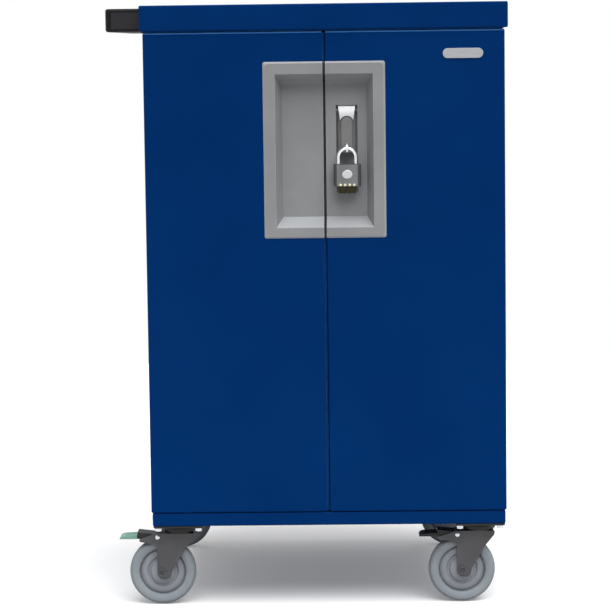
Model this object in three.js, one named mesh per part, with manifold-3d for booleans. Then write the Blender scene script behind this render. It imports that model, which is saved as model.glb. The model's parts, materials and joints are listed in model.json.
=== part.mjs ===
// A laptop charging cart: a sheet steel cabinet on four swivel casters, with two front doors,
// a split pull cup with a padlocked lever latch, a rear service door and two tiers of device slots.
// Millimetres. X runs to the right, Y from the front doors to the back, Z up from the floor.

import * as THREE from 'three';
import { ConvexGeometry } from 'three/addons/geometries/ConvexGeometry.js';
import { mergeVertices } from 'three/addons/utils/BufferGeometryUtils.js';
import Module from 'manifold-3d';

// Sheet metal and fits
const SHEET = 1.5; // steel sheet
const BEND = 3; // outer radius of a folded edge
const SEAT = 0.3; // gap between pieces that seat on each other
const PIN_FIT = 0.3; // gap round a pin or shaft
const SWING_CLEARANCE = 2; // room that a turning door edge keeps
const OVERLAP = 1; // how far joined forms and cuts reach past a face
const CORNER_EXTRA = 1; // a face's corner radius past its edge radius
const POINT_GAP = 0.01; // keeps the ends of two arcs apart
const WELD = 1e-4; // corners closer than this are one

// Sides of round bars
const SIDES_SMALL = 10;
const SIDES = 12;
const SIDES_LARGE = 16;
const HEX = 6;

// Cabinet
const BODY_WIDTH = 668;
const CART_DEPTH = 660; // front door face to rear door face
const BASE_HEIGHT = 25.5;
const BASE_SETBACK = 2; // base strip behind the door faces
const BASE_LIP = 30;
const SIDE_FLANGE = 25;
const TOP_HEIGHT = 48;
const TOP_OVERHANG = 8; // past each side panel
const TOP_FRONT_OVERHANG = 4; // past the front and rear door faces
const TOP_LIP = 20;

// Doors
const DOOR_HEIGHT = 899;
const DOOR_THICKNESS = 22;
const DOOR_LAP = 2; // past each side panel
const DOOR_GAP = 5; // between the two front doors
const DOOR_CLEARANCE = 3; // above and below each door
const DOOR_LIP = 15;
const PIN_RADIUS = 4;
const PIN_INSET = 10; // from a door's hinged edge to its pin
const PIN_REACH = 14; // of a pin into its door
const COLLAR_RADIUS = 6.5;

// Pull cup, measured on its front
const CUP_WIDTH = 227.6;
const CUP_HEIGHT = 328.5;
const CUP_DROP = 54; // below the top of the doors
const CUP_CORNER = 4;
const CUP_RIM_SIDE = 22.4;
const CUP_RIM_TOP = 22.8;
const CUP_RIM_BOTTOM = 19.6;
const CUP_DRAFT_SIDE = 12.8; // how far each wall leans in
const CUP_DRAFT_END = 18;
const CUP_DEPTH = 34;
const CUP_WALL = 2;

// Lever latch
const LATCH_OFFSET = 41.7; // from the middle of the cart
const LATCH_DROP = 82; // pocket top below the top of the cup
const POCKET_WIDTH = 40;
const POCKET_HEIGHT = 98;
const POCKET_DEPTH = 12;
const LEVER_WIDTH = 24; // raised tongue
const LEVER_PLATE_WIDTH = 32;
const LEVER_LENGTH = 89;
const LEVER_TOP_GAP = 1; // lever top below the pocket top
const LEVER_PROUD = 7; // tongue in front of the cup floor
const LEVER_PLATE_PROUD = 1;
const LEVER_SUNK = 6; // behind the cup floor
const LEVER_HEAD = 17; // height of the sloped head
const LEVER_TOP_EDGE = 1;
const LEVER_PIVOT_DROP = 9; // below the lever's top
const LEVER_PIVOT_SUNK = 5;
const LEVER_PIVOT_RADIUS = 3;
const EYE_THICKNESS = 4;
const EYE_REACH = 21;
const EYE_HEIGHT = 19;
const EYE_HOLE_RADIUS = 4.6;

// Lock rods and their rotor, behind the cup
const ROTOR_RADIUS = 28;
const ROTOR_THICKNESS = 4;
const ROTOR_DROP = 45; // below the pocket top
const SPINDLE_RADIUS = 6;
const CRANK_RADIUS = 20; // from the spindle to each crank pin
const CRANK_PIN_RADIUS = 3;
const CRANK_SLACK = 0.8; // slot height past the crank pin
const CRANK_SIDE_TRAVEL = 5.5; // slot length for the pin's arc
const ROD_WIDTH = 16;
const ROD_THICKNESS = 3.5;
const ROD_END_GAP = 4; // rod ends to the door's ends
const ROD_GUIDE_INSET = 14;
const ROD_GUIDE_WIDTH = 28;
const ROD_GUIDE_THICKNESS = 3;

// Padlock
const SHACKLE_WIDTH = 39;
const SHACKLE_RADIUS = 3.3;
const SHACKLE_RISE = 32.2; // above the lock body
const SHACKLE_SOCKET = 24; // legs inside the lock body
const LOCK_WIDTH = 51;
const LOCK_HEIGHT = 41.3;
const LOCK_THICKNESS = 25;
const LOCK_CORNER = 5;
const DIAL_COUNT = 4;
const DIAL_RADIUS = 11.4;
const DIAL_WIDTH = 8;
const DIAL_SPACING = 0.5;
const DIAL_AXLE_RADIUS = 2;
const DIAL_AXLE_DROP = 2.3; // dial axle below the lock's lower face
const DIAL_LUG = 2.5; // lugs that hold the dial axle
const DIAL_LUG_RADIUS = 9;

// Inside of the cabinet
const DEVICE_BAY_DEPTH = 410; // front frame to partition
const ROD_ROOM = 6; // between the lock rods' guides and the shelf
const SHELF_RISE = 460; // above the base floor
const SHELF_FOLD = 20;
const RACK_SLOTS = 10;
const RACK_PITCH = 59;
const RACK_FIN = 2;
const RACK_FIN_HEIGHT = 210;
const RACK_DEPTH = 340;
const RACK_SETBACK = 4; // behind the shelf's front edge
const RACK_FIN_CURVE = 90;
const CABLE_SLOT_WIDTH = 420;
const CABLE_SLOT_HEIGHT = 26;
const CABLE_SLOT_RISE = 330; // above each tier's floor

// Power strips, control box and inlet
const STRIP_LENGTH = 600;
const STRIP_HEIGHT = 44;
const STRIP_DEPTH = 38;
const STRIP_WALL = 2;
const STRIP_RISE = 240; // above each tier's floor
const OUTLET_WIDTH = 32;
const OUTLET_HEIGHT = 27;
const OUTLET_RECESS = 2;
const CONTROL_WIDTH = 160;
const CONTROL_HEIGHT = 90;
const CONTROL_DEPTH = 60;
const SWITCH_WIDTH = 22;
const SWITCH_HEIGHT = 30;
const SWITCH_DEPTH = 14;
const SWITCH_TILT = 10; // degrees at rest
const INLET_WIDTH = 50;
const INLET_HEIGHT = 30;
const INLET_FLANGE = 3;
const INLET_BODY = [28, 22, 24];
const INLET_SOCKET = [24, 17, 18];
const INLET_BLADE = [2, 6, 11];
const INLET_BLADE_PLACE = [6.7, 2.5]; // from the middle of the socket
const INLET_FROM_BACK = 110; // in front of the right side panel's rear edge
const INLET_RISE = 80;

// Rear door
const LOUVRE_LENGTH = 180;
const LOUVRE_HEIGHT = 9;
const LOUVRE_PITCH = 26;
const LOUVRE_ROWS = 4;
const LOUVRE_BANK_X = 150; // from the middle of the door
const LOUVRE_BANK_Z = 300;
const REAR_LOCK_INSET = 45;
const REAR_LOCK_RADIUS = 11;
const REAR_LOCK_PROUD = 3;
const REAR_BARREL_RADIUS = 9;
const CAM_LENGTH = 30;
const CAM_WIDTH = 16;
const CAM_THICKNESS = 2.5;
const CAM_GAP = 3; // to the flange that the cam turns behind
const KEY_SLOT = [2.5, 9];

// Push handle
const HANDLE_REACH = 67.3;
const HANDLE_LENGTH = 560;
const HANDLE_HEIGHT = 43.5;
const HANDLE_GRIP = 25;
const HANDLE_ARM = 30;
const HANDLE_CORNER = 26;
const HANDLE_EDGE = 6;
const HANDLE_PANEL_RIM = 5.5;
const HANDLE_PANEL_SUNK = 2;

// Casters
const CASTER_HEIGHT = 158.5;
const CASTER_INSET_X = 48; // swivel axis from the side of the cabinet
const CASTER_INSET_Y = 56; // swivel axis from a door face
const CASTER_TRAIL = 33.5;
const WHEEL_RADIUS = 63.5;
const WHEEL_FACETS = 24;
const TYRE_WIDTH = 32;
const TYRE_TREAD = 18;
const TYRE_SEAT_RADIUS = 44;
const TYRE_SEAT_WIDTH = 26;
const HUB_RIM = 5.5;
const HUB_WEB_WIDTH = 16;
const HUB_BOSS_RADIUS = 25;
const AXLE_RADIUS = 5;
const AXLE_HEAD_RADIUS = 8;
const AXLE_HEAD = 5;
const FORK_INNER = 38;
const FORK_PLATE = 3;
const FORK_FOOT_RADIUS = 13.5;
const FORK_FOOT_OFFSET = 3.5; // foot centre in front of the axle
const FORK_SHOULDER = 6; // straight edge under the crown
const FORK_NECK = [15, 19]; // curve of the neck: from the swivel axis, and under the crown
const FORK_WAIST = [11.5, 28];
const CROWN_FRONT = 29;
const CROWN_BACK = 27;
const CROWN_THICKNESS = 4;
const CROWN_GAP = 8; // tyre to crown
const WING_REACH = 77; // fork wing that carries the brake pedal
const WING_DROPS = [16, 10, 8, 4]; // root, curve, lower tip and upper tip under the pedal pivot
const WING_HUMP = 6; // behind and above the pedal pivot
const PLATE_WIDTH = 95;
const PLATE_DEPTH = 105;
const PLATE_THICKNESS = 4;
const RACEWAY_RADIUS = 31;
const RACEWAY_CHAMFER = 5;
const BOLT_SPREAD = [76, 80];
const BOLT_RADIUS = 7;
const BOLT_HEAD = 5;

// Brake pedals on the front casters
const PEDAL_PIVOT_X = 42; // from the swivel axis
const PEDAL_PIVOT_RISE = 4.7; // above the top of the tyre
const PEDAL_PIVOT_RADIUS = 3;
const PEDAL_HEAD_RADIUS = 4.4;
const PEDAL_HEAD = 2;
const PEDAL_THICKNESS = 7;
const PEDAL_INNER_X = 31;
const PEDAL_RELIEF = 1; // inner end, clear of the tyre
const PEDAL_PAD_X = 81;
const PEDAL_END_X = 116;
const PEDAL_TONGUE = 3;
const PAD_THICKNESS = 13;
const PAD_WIDTH = 40;
const PAD_WALL = 4;

// Heights worked out from the driving sizes
const baseTopZ = CASTER_HEIGHT + BASE_HEIGHT;
const baseFloorZ = CASTER_HEIGHT + SHEET;
const doorBottomZ = baseTopZ + DOOR_CLEARANCE;
const doorTopZ = doorBottomZ + DOOR_HEIGHT;
const roofZ = doorTopZ + DOOR_CLEARANCE;
const topBottomZ = roofZ + SHEET + SEAT;
const topZ = topBottomZ + TOP_HEIGHT;
const shelfTopZ = baseFloorZ + SHELF_RISE;

// Depths and widths worked out from the driving sizes
const doorFaceY = -CART_DEPTH / 2;
const doorBackY = doorFaceY + DOOR_THICKNESS;
const pinY = doorFaceY + DOOR_THICKNESS / 2;
const frameFrontY = pinY + Math.hypot(PIN_INSET, DOOR_THICKNESS / 2) + SWING_CLEARANCE;
const doorEdgeX = BODY_WIDTH / 2 + DOOR_LAP;
const doorWidth = doorEdgeX - DOOR_GAP / 2;
const pinX = doorEdgeX - PIN_INSET;
const innerX = BODY_WIDTH / 2 - SHEET - SEAT;
const partitionY = frameFrontY + DEVICE_BAY_DEPTH;
const chargerFaceY = partitionY + SHEET + SEAT;
const cupTopZ = doorTopZ - CUP_DROP;
const cupBottomZ = cupTopZ - CUP_HEIGHT;
const cupFloorY = doorFaceY + CUP_DEPTH;
const pocketTopZ = cupTopZ - LATCH_DROP;
const leverTopZ = pocketTopZ - LEVER_TOP_GAP;
const rotorZ = pocketTopZ - ROTOR_DROP;
const rotorY = cupFloorY + POCKET_DEPTH + CUP_WALL + SEAT;
const rodY = rotorY + ROTOR_THICKNESS + SEAT;
const shelfFrontY = rodY + ROD_THICKNESS + ROD_GUIDE_THICKNESS + ROD_ROOM;
const eyeZ = leverTopZ - LEVER_LENGTH + EYE_HEIGHT / 2;
const eyeY = cupFloorY - LEVER_PROUD - EYE_REACH + EYE_HEIGHT / 2;
const lockTopZ = eyeZ + SHACKLE_RADIUS - SHACKLE_RISE;
const crownTopZ = 2 * WHEEL_RADIUS + CROWN_GAP + CROWN_THICKNESS;
const plateBottomZ = CASTER_HEIGHT - SEAT - PLATE_THICKNESS;
const pedalPivotZ = 2 * WHEEL_RADIUS + PEDAL_PIVOT_RISE;

const wasm = await Module();
wasm.setup();

// Materials, one per finish
const finish = (color, roughness, metalness) =>
  new THREE.MeshStandardMaterial({ color, roughness, metalness });
const bluePaint = () => finish(0x0a3060, 0.45, 0.2);
const silverPlastic = () => finish(0x8e9094, 0.5, 0.1);
const blackPlastic = () => finish(0x1c1c1e, 0.5, 0);
const blackSteel = () => finish(0x1c1c1e, 0.45, 0.6);
const greenPlastic = () => finish(0x5fa58c, 0.5, 0);
const greyRubber = () => finish(0x8b9298, 0.8, 0);
const greyPlastic = () => finish(0x73787e, 0.6, 0);
const forkPaint = () => finish(0x4c4d50, 0.5, 0.6);
const zincSteel = () => finish(0xc8ccd0, 0.35, 0.9);
const chrome = () => finish(0xd8dadc, 0.12, 1);
const darkMetal = () => finish(0x55565a, 0.4, 0.8);
const brass = () => finish(0xb99a4e, 0.35, 0.9);
const ventGrey = () => finish(0x9da2a8, 0.5, 0.3);

// A closed geometry as a solid that can be joined and cut
function solid(geometry) {
  const bare = new THREE.BufferGeometry();
  bare.setAttribute('position', geometry.getAttribute('position'));
  if (geometry.index) bare.setIndex(geometry.index);
  const merged = mergeVertices(bare, WELD);
  const corners = merged.index.array;
  const triVerts = [];
  for (let i = 0; i < corners.length; i += 3) {
    const [a, b, c] = corners.slice(i, i + 3);
    if (a !== b && b !== c && c !== a) triVerts.push(a, b, c);
  }
  return new wasm.Manifold(new wasm.Mesh({
    numProp: 3,
    vertProperties: merged.attributes.position.array,
    triVerts: Uint32Array.from(triVerts),
  }));
}

// A solid as geometry again
function geometryOf(part) {
  const mesh = part.getMesh();
  const geometry = new THREE.BufferGeometry();
  geometry.setAttribute('position', new THREE.BufferAttribute(mesh.vertProperties, 3));
  geometry.setIndex(new THREE.BufferAttribute(mesh.triVerts, 1));
  return geometry;
}

// A solid turned (degrees about X, Y and Z) and then moved
function placed(part, turn, at) {
  const radians = turn.map(THREE.MathUtils.degToRad);
  const matrix = new THREE.Matrix4().makeRotationFromEuler(new THREE.Euler(...radians));
  return solid(geometryOf(part).applyMatrix4(matrix.setPosition(...at)));
}

// The same solid on the other side of the cart's middle plane
function mirrored(part) {
  const geometry = geometryOf(part).scale(-1, 1, 1);
  geometry.index.array.reverse();
  return solid(geometry);
}

function block(x0, x1, y0, y1, z0, z1) {
  const geometry = new THREE.BoxGeometry(x1 - x0, y1 - y0, z1 - z0);
  return solid(geometry.translate((x0 + x1) / 2, (y0 + y1) / 2, (z0 + z1) / 2));
}

// Round bars along each axis
function barX(radius, x0, x1, y, z, sides = SIDES) {
  const geometry = new THREE.CylinderGeometry(radius, radius, x1 - x0, sides).rotateZ(-Math.PI / 2);
  return solid(geometry.translate((x0 + x1) / 2, y, z));
}

function barY(radius, y0, y1, x, z, sides = SIDES) {
  const geometry = new THREE.CylinderGeometry(radius, radius, y1 - y0, sides);
  return solid(geometry.translate(x, (y0 + y1) / 2, z));
}

function barZ(radius, z0, z1, x, y, sides = SIDES) {
  const geometry = new THREE.CylinderGeometry(radius, radius, z1 - z0, sides).rotateX(Math.PI / 2);
  return solid(geometry.translate(x, y, (z0 + z1) / 2));
}

// Flat shapes drawn in the plane of two axes and extruded along the third
function straightExtrude(shape, depth, curveSegments) {
  return new THREE.ExtrudeGeometry(shape, { depth, bevelEnabled: false, curveSegments });
}

function plateX(shape, x0, x1, curveSegments = 4) {
  const geometry = straightExtrude(shape, x1 - x0, curveSegments);
  const axes = new THREE.Matrix4().makeBasis(
    new THREE.Vector3(0, 1, 0),
    new THREE.Vector3(0, 0, 1),
    new THREE.Vector3(1, 0, 0),
  );
  return solid(geometry.applyMatrix4(axes).translate(x0, 0, 0));
}

function plateY(shape, y0, y1, curveSegments = 4) {
  const geometry = straightExtrude(shape, y1 - y0, curveSegments);
  return solid(geometry.rotateX(Math.PI / 2).translate(0, y1, 0));
}

function plateZ(shape, z0, z1, curveSegments = 2) {
  const geometry = straightExtrude(shape, z1 - z0, curveSegments);
  return solid(geometry.translate(0, 0, z0));
}

// A solid of revolution about Y from its profile of radius and height
function turned(profile, segments, start = 0) {
  const points = profile.map(([radius, height]) => new THREE.Vector2(radius, height));
  if (THREE.ShapeUtils.area(points) < 0) points.reverse();
  return solid(new THREE.LatheGeometry([...points, points[0]], segments, start));
}

// Outlines
function roundedRectangle(x0, x1, z0, z1, radius) {
  const outline = new THREE.Shape();
  outline.absarc(x1 - radius, z0 + radius, radius, -Math.PI / 2, 0);
  outline.absarc(x1 - radius, z1 - radius, radius, 0, Math.PI / 2);
  outline.absarc(x0 + radius, z1 - radius, radius, Math.PI / 2, Math.PI);
  outline.absarc(x0 + radius, z0 + radius, radius, Math.PI, 1.5 * Math.PI);
  outline.closePath();
  return outline;
}

// The corner radius of a regular outline whose flats lie at the given radius
const acrossFlats = (radius, sides) => radius / Math.cos(Math.PI / sides);

function obround(x, z, length, height) {
  const radius = height / 2 - POINT_GAP;
  return roundedRectangle(x - length / 2, x + length / 2, z - height / 2, z + height / 2, radius);
}

// A named mesh of one piece
function piece(name, part, material) {
  const mesh = new THREE.Mesh(geometryOf(part).toNonIndexed(), material);
  mesh.geometry.computeVertexNormals();
  mesh.name = name;
  return mesh;
}

// A block with a rounded front: its face lies on y = 0, centred on X and Z
function softFacedBlock(width, height, depth, edge) {
  const corner = edge + CORNER_EXTRA;
  const outline = roundedRectangle(-width / 2, width / 2, -height / 2, height / 2, corner);
  const geometry = new THREE.ExtrudeGeometry(outline, {
    depth,
    bevelSize: edge,
    bevelOffset: -edge,
    bevelThickness: edge,
    bevelSegments: 2,
    curveSegments: 2,
  });
  const whole = solid(geometry.rotateX(Math.PI / 2).translate(0, depth + edge, 0));
  return whole.subtract(block(-width, width, depth, depth + 3 * edge, -height, height));
}

// A folded sheet tray: face on y = 0, walls running back to its depth, and a lip turned in all round
function foldedPan(width, height, depth, lip) {
  const inside = block(
    -width / 2 + SHEET, width / 2 - SHEET,
    SHEET, depth - SHEET,
    -height / 2 + SHEET, height / 2 - SHEET,
  );
  const mouth = block(
    -width / 2 + lip, width / 2 - lip,
    depth - 2 * SHEET, depth + SHEET,
    -height / 2 + lip, height / 2 - lip,
  );
  return softFacedBlock(width, height, depth, BEND).subtract(inside).subtract(mouth);
}

// Holes for the pivot pins of one door, through whatever lies at the given heights
function pinHoles(x, y) {
  return barZ(PIN_RADIUS + PIN_FIT, baseFloorZ + SHEET, doorBottomZ + PIN_REACH + SEAT, x, y)
    .add(barZ(PIN_RADIUS + PIN_FIT, doorTopZ - PIN_REACH - SEAT, roofZ + 2 * SHEET, x, y));
}

// The base tray; the rear door's lower pivot is a stud welded to it
function baseTray() {
  const depth = CART_DEPTH - 2 * BASE_SETBACK;
  const tray = foldedPan(BODY_WIDTH, depth, BASE_HEIGHT, BASE_LIP);
  return placed(tray, [90, 0, 0], [0, 0, CASTER_HEIGHT])
    .subtract(pinHoles(pinX, pinY))
    .subtract(pinHoles(-pinX, pinY))
    .add(pivotPin(pinX, -pinY, false));
}

// The flat roof; the rear door's upper pivot is a stud welded to it
function roofPanel() {
  const sheet = block(-BODY_WIDTH / 2, BODY_WIDTH / 2, doorFaceY, -doorFaceY, roofZ, roofZ + SHEET);
  return sheet
    .subtract(pinHoles(pinX, pinY))
    .subtract(pinHoles(-pinX, pinY))
    .add(pivotPin(pinX, -pinY, true));
}

function topPanel() {
  const width = BODY_WIDTH + 2 * TOP_OVERHANG;
  const depth = CART_DEPTH + 2 * TOP_FRONT_OVERHANG;
  return placed(foldedPan(width, depth, TOP_HEIGHT, TOP_LIP), [-90, 0, 0], [0, 0, topZ]);
}

// Right side panel: a channel in plan, with a flange turned in at the front and the back
function sidePanel() {
  const outer = BODY_WIDTH / 2;
  const inside = BEND - SHEET;
  const plan = new THREE.Shape();
  plan.moveTo(outer - SIDE_FLANGE, frameFrontY);
  plan.absarc(outer - BEND, frameFrontY + BEND, BEND, -Math.PI / 2, 0);
  plan.absarc(outer - BEND, -frameFrontY - BEND, BEND, 0, Math.PI / 2);
  plan.lineTo(outer - SIDE_FLANGE, -frameFrontY);
  plan.lineTo(outer - SIDE_FLANGE, -frameFrontY - SHEET);
  plan.absarc(outer - BEND, -frameFrontY - BEND, inside, Math.PI / 2, 0, true);
  plan.absarc(outer - BEND, frameFrontY + BEND, inside, 0, -Math.PI / 2, true);
  plan.lineTo(outer - SIDE_FLANGE, frameFrontY + SHEET);
  return plateZ(plan, baseTopZ + SEAT, roofZ - SEAT);
}

// The inlet's place on the right side panel
const inletY = -frameFrontY - INLET_FROM_BACK;
const inletZ = baseTopZ + INLET_RISE;
const panelFaceX = BODY_WIDTH / 2;

function inletHole() {
  const [width, height] = INLET_BODY;
  return block(
    panelFaceX - 2 * BEND, panelFaceX + BEND,
    inletY - width / 2 - SEAT, inletY + width / 2 + SEAT,
    inletZ - height / 2 - SEAT, inletZ + height / 2 + SEAT,
  );
}

// Mains inlet: a flange outside the panel, a body inside and a three-blade socket
function powerInlet() {
  const [bodyWidth, bodyHeight, bodyDepth] = INLET_BODY;
  const [socketWidth, socketHeight, socketDepth] = INLET_SOCKET;
  const [bladeWidth, bladeHeight, bladeDepth] = INLET_BLADE;
  const backX = panelFaceX + SEAT;
  const faceX = backX + INLET_FLANGE;
  const outline = roundedRectangle(
    inletY - INLET_WIDTH / 2, inletY + INLET_WIDTH / 2,
    inletZ - INLET_HEIGHT / 2, inletZ + INLET_HEIGHT / 2,
    INLET_HEIGHT / 6,
  );
  let inlet = plateX(outline, backX, faceX);
  inlet = inlet.add(block(
    faceX - bodyDepth, faceX,
    inletY - bodyWidth / 2, inletY + bodyWidth / 2,
    inletZ - bodyHeight / 2, inletZ + bodyHeight / 2,
  ));
  inlet = inlet.subtract(block(
    faceX - socketDepth, faceX + OVERLAP,
    inletY - socketWidth / 2, inletY + socketWidth / 2,
    inletZ - socketHeight / 2, inletZ + socketHeight / 2,
  ));
  const [bladeAcross, bladeUp] = INLET_BLADE_PLACE;
  for (const [across, up] of [[-1, -1], [0, 1], [1, -1]]) {
    const y = inletY + across * bladeAcross;
    const z = inletZ + up * bladeUp;
    inlet = inlet.add(block(
      faceX - socketDepth - OVERLAP, faceX - socketDepth + bladeDepth,
      y - bladeWidth / 2, y + bladeWidth / 2,
      z - bladeHeight / 2, z + bladeHeight / 2,
    ));
  }
  return inlet;
}

// The partition between devices and chargers, with a long cable slot for each tier
function partition() {
  const wall = new THREE.Shape();
  const bottom = baseTopZ + SEAT;
  const top = roofZ - SEAT;
  wall.moveTo(-innerX, bottom);
  wall.lineTo(innerX, bottom);
  wall.lineTo(innerX, top);
  wall.lineTo(-innerX, top);
  for (const tierZ of [baseFloorZ, shelfTopZ]) {
    wall.holes.push(obround(0, tierZ + CABLE_SLOT_RISE, CABLE_SLOT_WIDTH, CABLE_SLOT_HEIGHT));
  }
  return plateY(wall, partitionY, partitionY + SHEET);
}

function shelf() {
  const backY = partitionY - SEAT;
  const tray = foldedPan(2 * innerX, backY - shelfFrontY, SHELF_FOLD, SHELF_FOLD);
  return placed(tray, [-90, 0, 0], [0, (shelfFrontY + backY) / 2, shelfTopZ]);
}

// A divider rack: a base plate with curved fins that stand the laptops on edge
function dividerRack(floorZ) {
  const frontY = shelfFrontY + RACK_SETBACK;
  const backY = frontY + RACK_DEPTH;
  const bottom = floorZ + SEAT;
  const top = bottom + RACK_FIN_HEIGHT;
  const spread = RACK_SLOTS * RACK_PITCH;
  const fin = new THREE.Shape();
  fin.moveTo(frontY, bottom);
  fin.lineTo(backY, bottom);
  fin.lineTo(backY, top);
  fin.lineTo(frontY + RACK_FIN_CURVE, top);
  fin.absarc(frontY + RACK_FIN_CURVE, top - RACK_FIN_CURVE, RACK_FIN_CURVE, Math.PI / 2, Math.PI);
  let rack = block(-spread / 2 - RACK_FIN, spread / 2 + RACK_FIN, frontY, backY, bottom, bottom + RACK_FIN);
  for (let i = 0; i <= RACK_SLOTS; i += 1) {
    const x = i * RACK_PITCH - spread / 2;
    rack = rack.add(plateX(fin, x - RACK_FIN / 2, x + RACK_FIN / 2, 2));
  }
  return rack;
}

// A power strip on the back of the partition: a row of recessed outlets
function powerStrip(floorZ) {
  const z = floorZ + STRIP_RISE;
  const backY = chargerFaceY + STRIP_DEPTH;
  const pitch = STRIP_LENGTH / RACK_SLOTS;
  let strip = placed(
    softFacedBlock(STRIP_LENGTH, STRIP_HEIGHT, STRIP_DEPTH, STRIP_WALL),
    [0, 0, 180],
    [0, backY, z],
  );
  for (let i = 0; i < RACK_SLOTS; i += 1) {
    const x = (i - (RACK_SLOTS - 1) / 2) * pitch;
    strip = strip.subtract(block(
      x - OUTLET_WIDTH / 2, x + OUTLET_WIDTH / 2,
      backY - OUTLET_RECESS, backY + OVERLAP,
      z - OUTLET_HEIGHT / 2, z + OUTLET_HEIGHT / 2,
    ));
  }
  return strip;
}

// The control box between the strips, with a window for its rocker switch
const controlZ = shelfTopZ;
const controlBackY = chargerFaceY + CONTROL_DEPTH;

function controlBox() {
  const housing = placed(
    softFacedBlock(CONTROL_WIDTH, CONTROL_HEIGHT, CONTROL_DEPTH, BEND),
    [0, 0, 180],
    [0, controlBackY, controlZ],
  );
  const swing = Math.sin(THREE.MathUtils.degToRad(SWITCH_TILT)) * SWITCH_DEPTH;
  return housing.subtract(block(
    -SWITCH_WIDTH / 2 - SEAT, SWITCH_WIDTH / 2 + SEAT,
    controlBackY - SWITCH_DEPTH, controlBackY + OVERLAP,
    controlZ - SWITCH_HEIGHT / 2 - swing, controlZ + SWITCH_HEIGHT / 2 + swing,
  ));
}

// The rocker: a shallow vee in profile that tips about X
const switchPivotY = controlBackY - SWITCH_DEPTH / 4;

function rockerSwitch() {
  const half = SWITCH_HEIGHT / 2;
  const profile = new THREE.Shape();
  profile.moveTo(-SWITCH_DEPTH / 3, -half / 3);
  profile.lineTo(0, -half);
  profile.lineTo(SWITCH_DEPTH / 2, -half);
  profile.lineTo(SWITCH_DEPTH / 3, 0);
  profile.lineTo(SWITCH_DEPTH / 2, half);
  profile.lineTo(0, half);
  profile.lineTo(-SWITCH_DEPTH / 3, half / 3);
  return plateX(profile, -SWITCH_WIDTH / 2, SWITCH_WIDTH / 2);
}

// The full pull cup, later split between the doors
function cupRecess(opening, floorInset, y0, y1) {
  const { x, bottom, top } = opening;
  const corners = [];
  for (const side of [-1, 1]) {
    for (const z of [bottom, top]) corners.push(new THREE.Vector3(side * x, y0, z));
    for (const z of [bottom + CUP_DRAFT_END, top - CUP_DRAFT_END]) {
      corners.push(new THREE.Vector3(side * (x - floorInset), y1, z));
    }
  }
  return solid(new ConvexGeometry(corners));
}

const cupOpening = {
  x: CUP_WIDTH / 2 - CUP_RIM_SIDE,
  bottom: cupBottomZ + CUP_RIM_BOTTOM,
  top: cupTopZ - CUP_RIM_TOP,
};
const cupShell = {
  x: cupOpening.x + CUP_WALL,
  bottom: cupOpening.bottom - CUP_WALL,
  top: cupOpening.top + CUP_WALL,
};
const cupRimY = doorFaceY - SEAT - CUP_WALL;

// One half of the cup, on the right of the middle plane
function rightCupHalf() {
  const outline = roundedRectangle(-CUP_WIDTH / 2, CUP_WIDTH / 2, cupBottomZ, cupTopZ, CUP_CORNER);
  const cup = plateY(outline, cupRimY, cupRimY + CUP_WALL, 3)
    .add(cupRecess(cupShell, CUP_DRAFT_SIDE, cupRimY, cupFloorY + CUP_WALL))
    .subtract(cupRecess(cupOpening, CUP_DRAFT_SIDE, cupRimY, cupFloorY));
  return cup.intersect(block(
    DOOR_GAP / 2, CUP_WIDTH,
    cupRimY - OVERLAP, cupFloorY + 2 * CUP_WALL,
    cupBottomZ - OVERLAP, cupTopZ + OVERLAP,
  ));
}

// The latch pocket sunk into the right half
const pocketBox = (grow, front, back) => block(
  LATCH_OFFSET - POCKET_WIDTH / 2 - grow, LATCH_OFFSET + POCKET_WIDTH / 2 + grow,
  front, back,
  pocketTopZ - POCKET_HEIGHT - grow, pocketTopZ + grow,
);
const leverPivotZ = leverTopZ - LEVER_PIVOT_DROP;
const leverPivotY = cupFloorY + LEVER_PIVOT_SUNK;

function latchedCupHalf() {
  const pocketBackY = cupFloorY + POCKET_DEPTH;
  const wall = POCKET_WIDTH / 2 + 2 * CUP_WALL;
  const pivotHole = barX(
    LEVER_PIVOT_RADIUS + PIN_FIT,
    LATCH_OFFSET - wall, LATCH_OFFSET + wall,
    leverPivotY, leverPivotZ,
  );
  return rightCupHalf()
    .add(pocketBox(CUP_WALL, cupFloorY, pocketBackY + CUP_WALL))
    .subtract(pocketBox(0, cupFloorY - OVERLAP, pocketBackY))
    .subtract(pivotHole)
    .subtract(barY(SPINDLE_RADIUS + PIN_FIT, pocketBackY - OVERLAP, rotorY, LATCH_OFFSET, rotorZ));
}

// A front door on the right: a folded pan, cut for the cup and its pins
function doorBlank() {
  const pan = placed(
    foldedPan(doorWidth, DOOR_HEIGHT, DOOR_THICKNESS, DOOR_LIP),
    [0, 0, 0],
    [DOOR_GAP / 2 + doorWidth / 2, doorFaceY, (doorBottomZ + doorTopZ) / 2],
  );
  const cutOut = block(
    0, cupShell.x + SEAT,
    doorFaceY - OVERLAP, doorBackY + OVERLAP,
    cupShell.bottom - SEAT, cupShell.top + SEAT,
  );
  return pan.subtract(cutOut).subtract(pinHoles(pinX, pinY));
}

// Where each lock rod ends; the upper one runs right of the spindle and the lower one left of it
const rods = {
  upper: {
    side: 1,
    end: doorTopZ - ROD_END_GAP,
    guide: doorTopZ - ROD_GUIDE_INSET,
  },
  lower: {
    side: -1,
    end: doorBottomZ + ROD_END_GAP,
    guide: doorBottomZ + ROD_GUIDE_INSET,
  },
};

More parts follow.
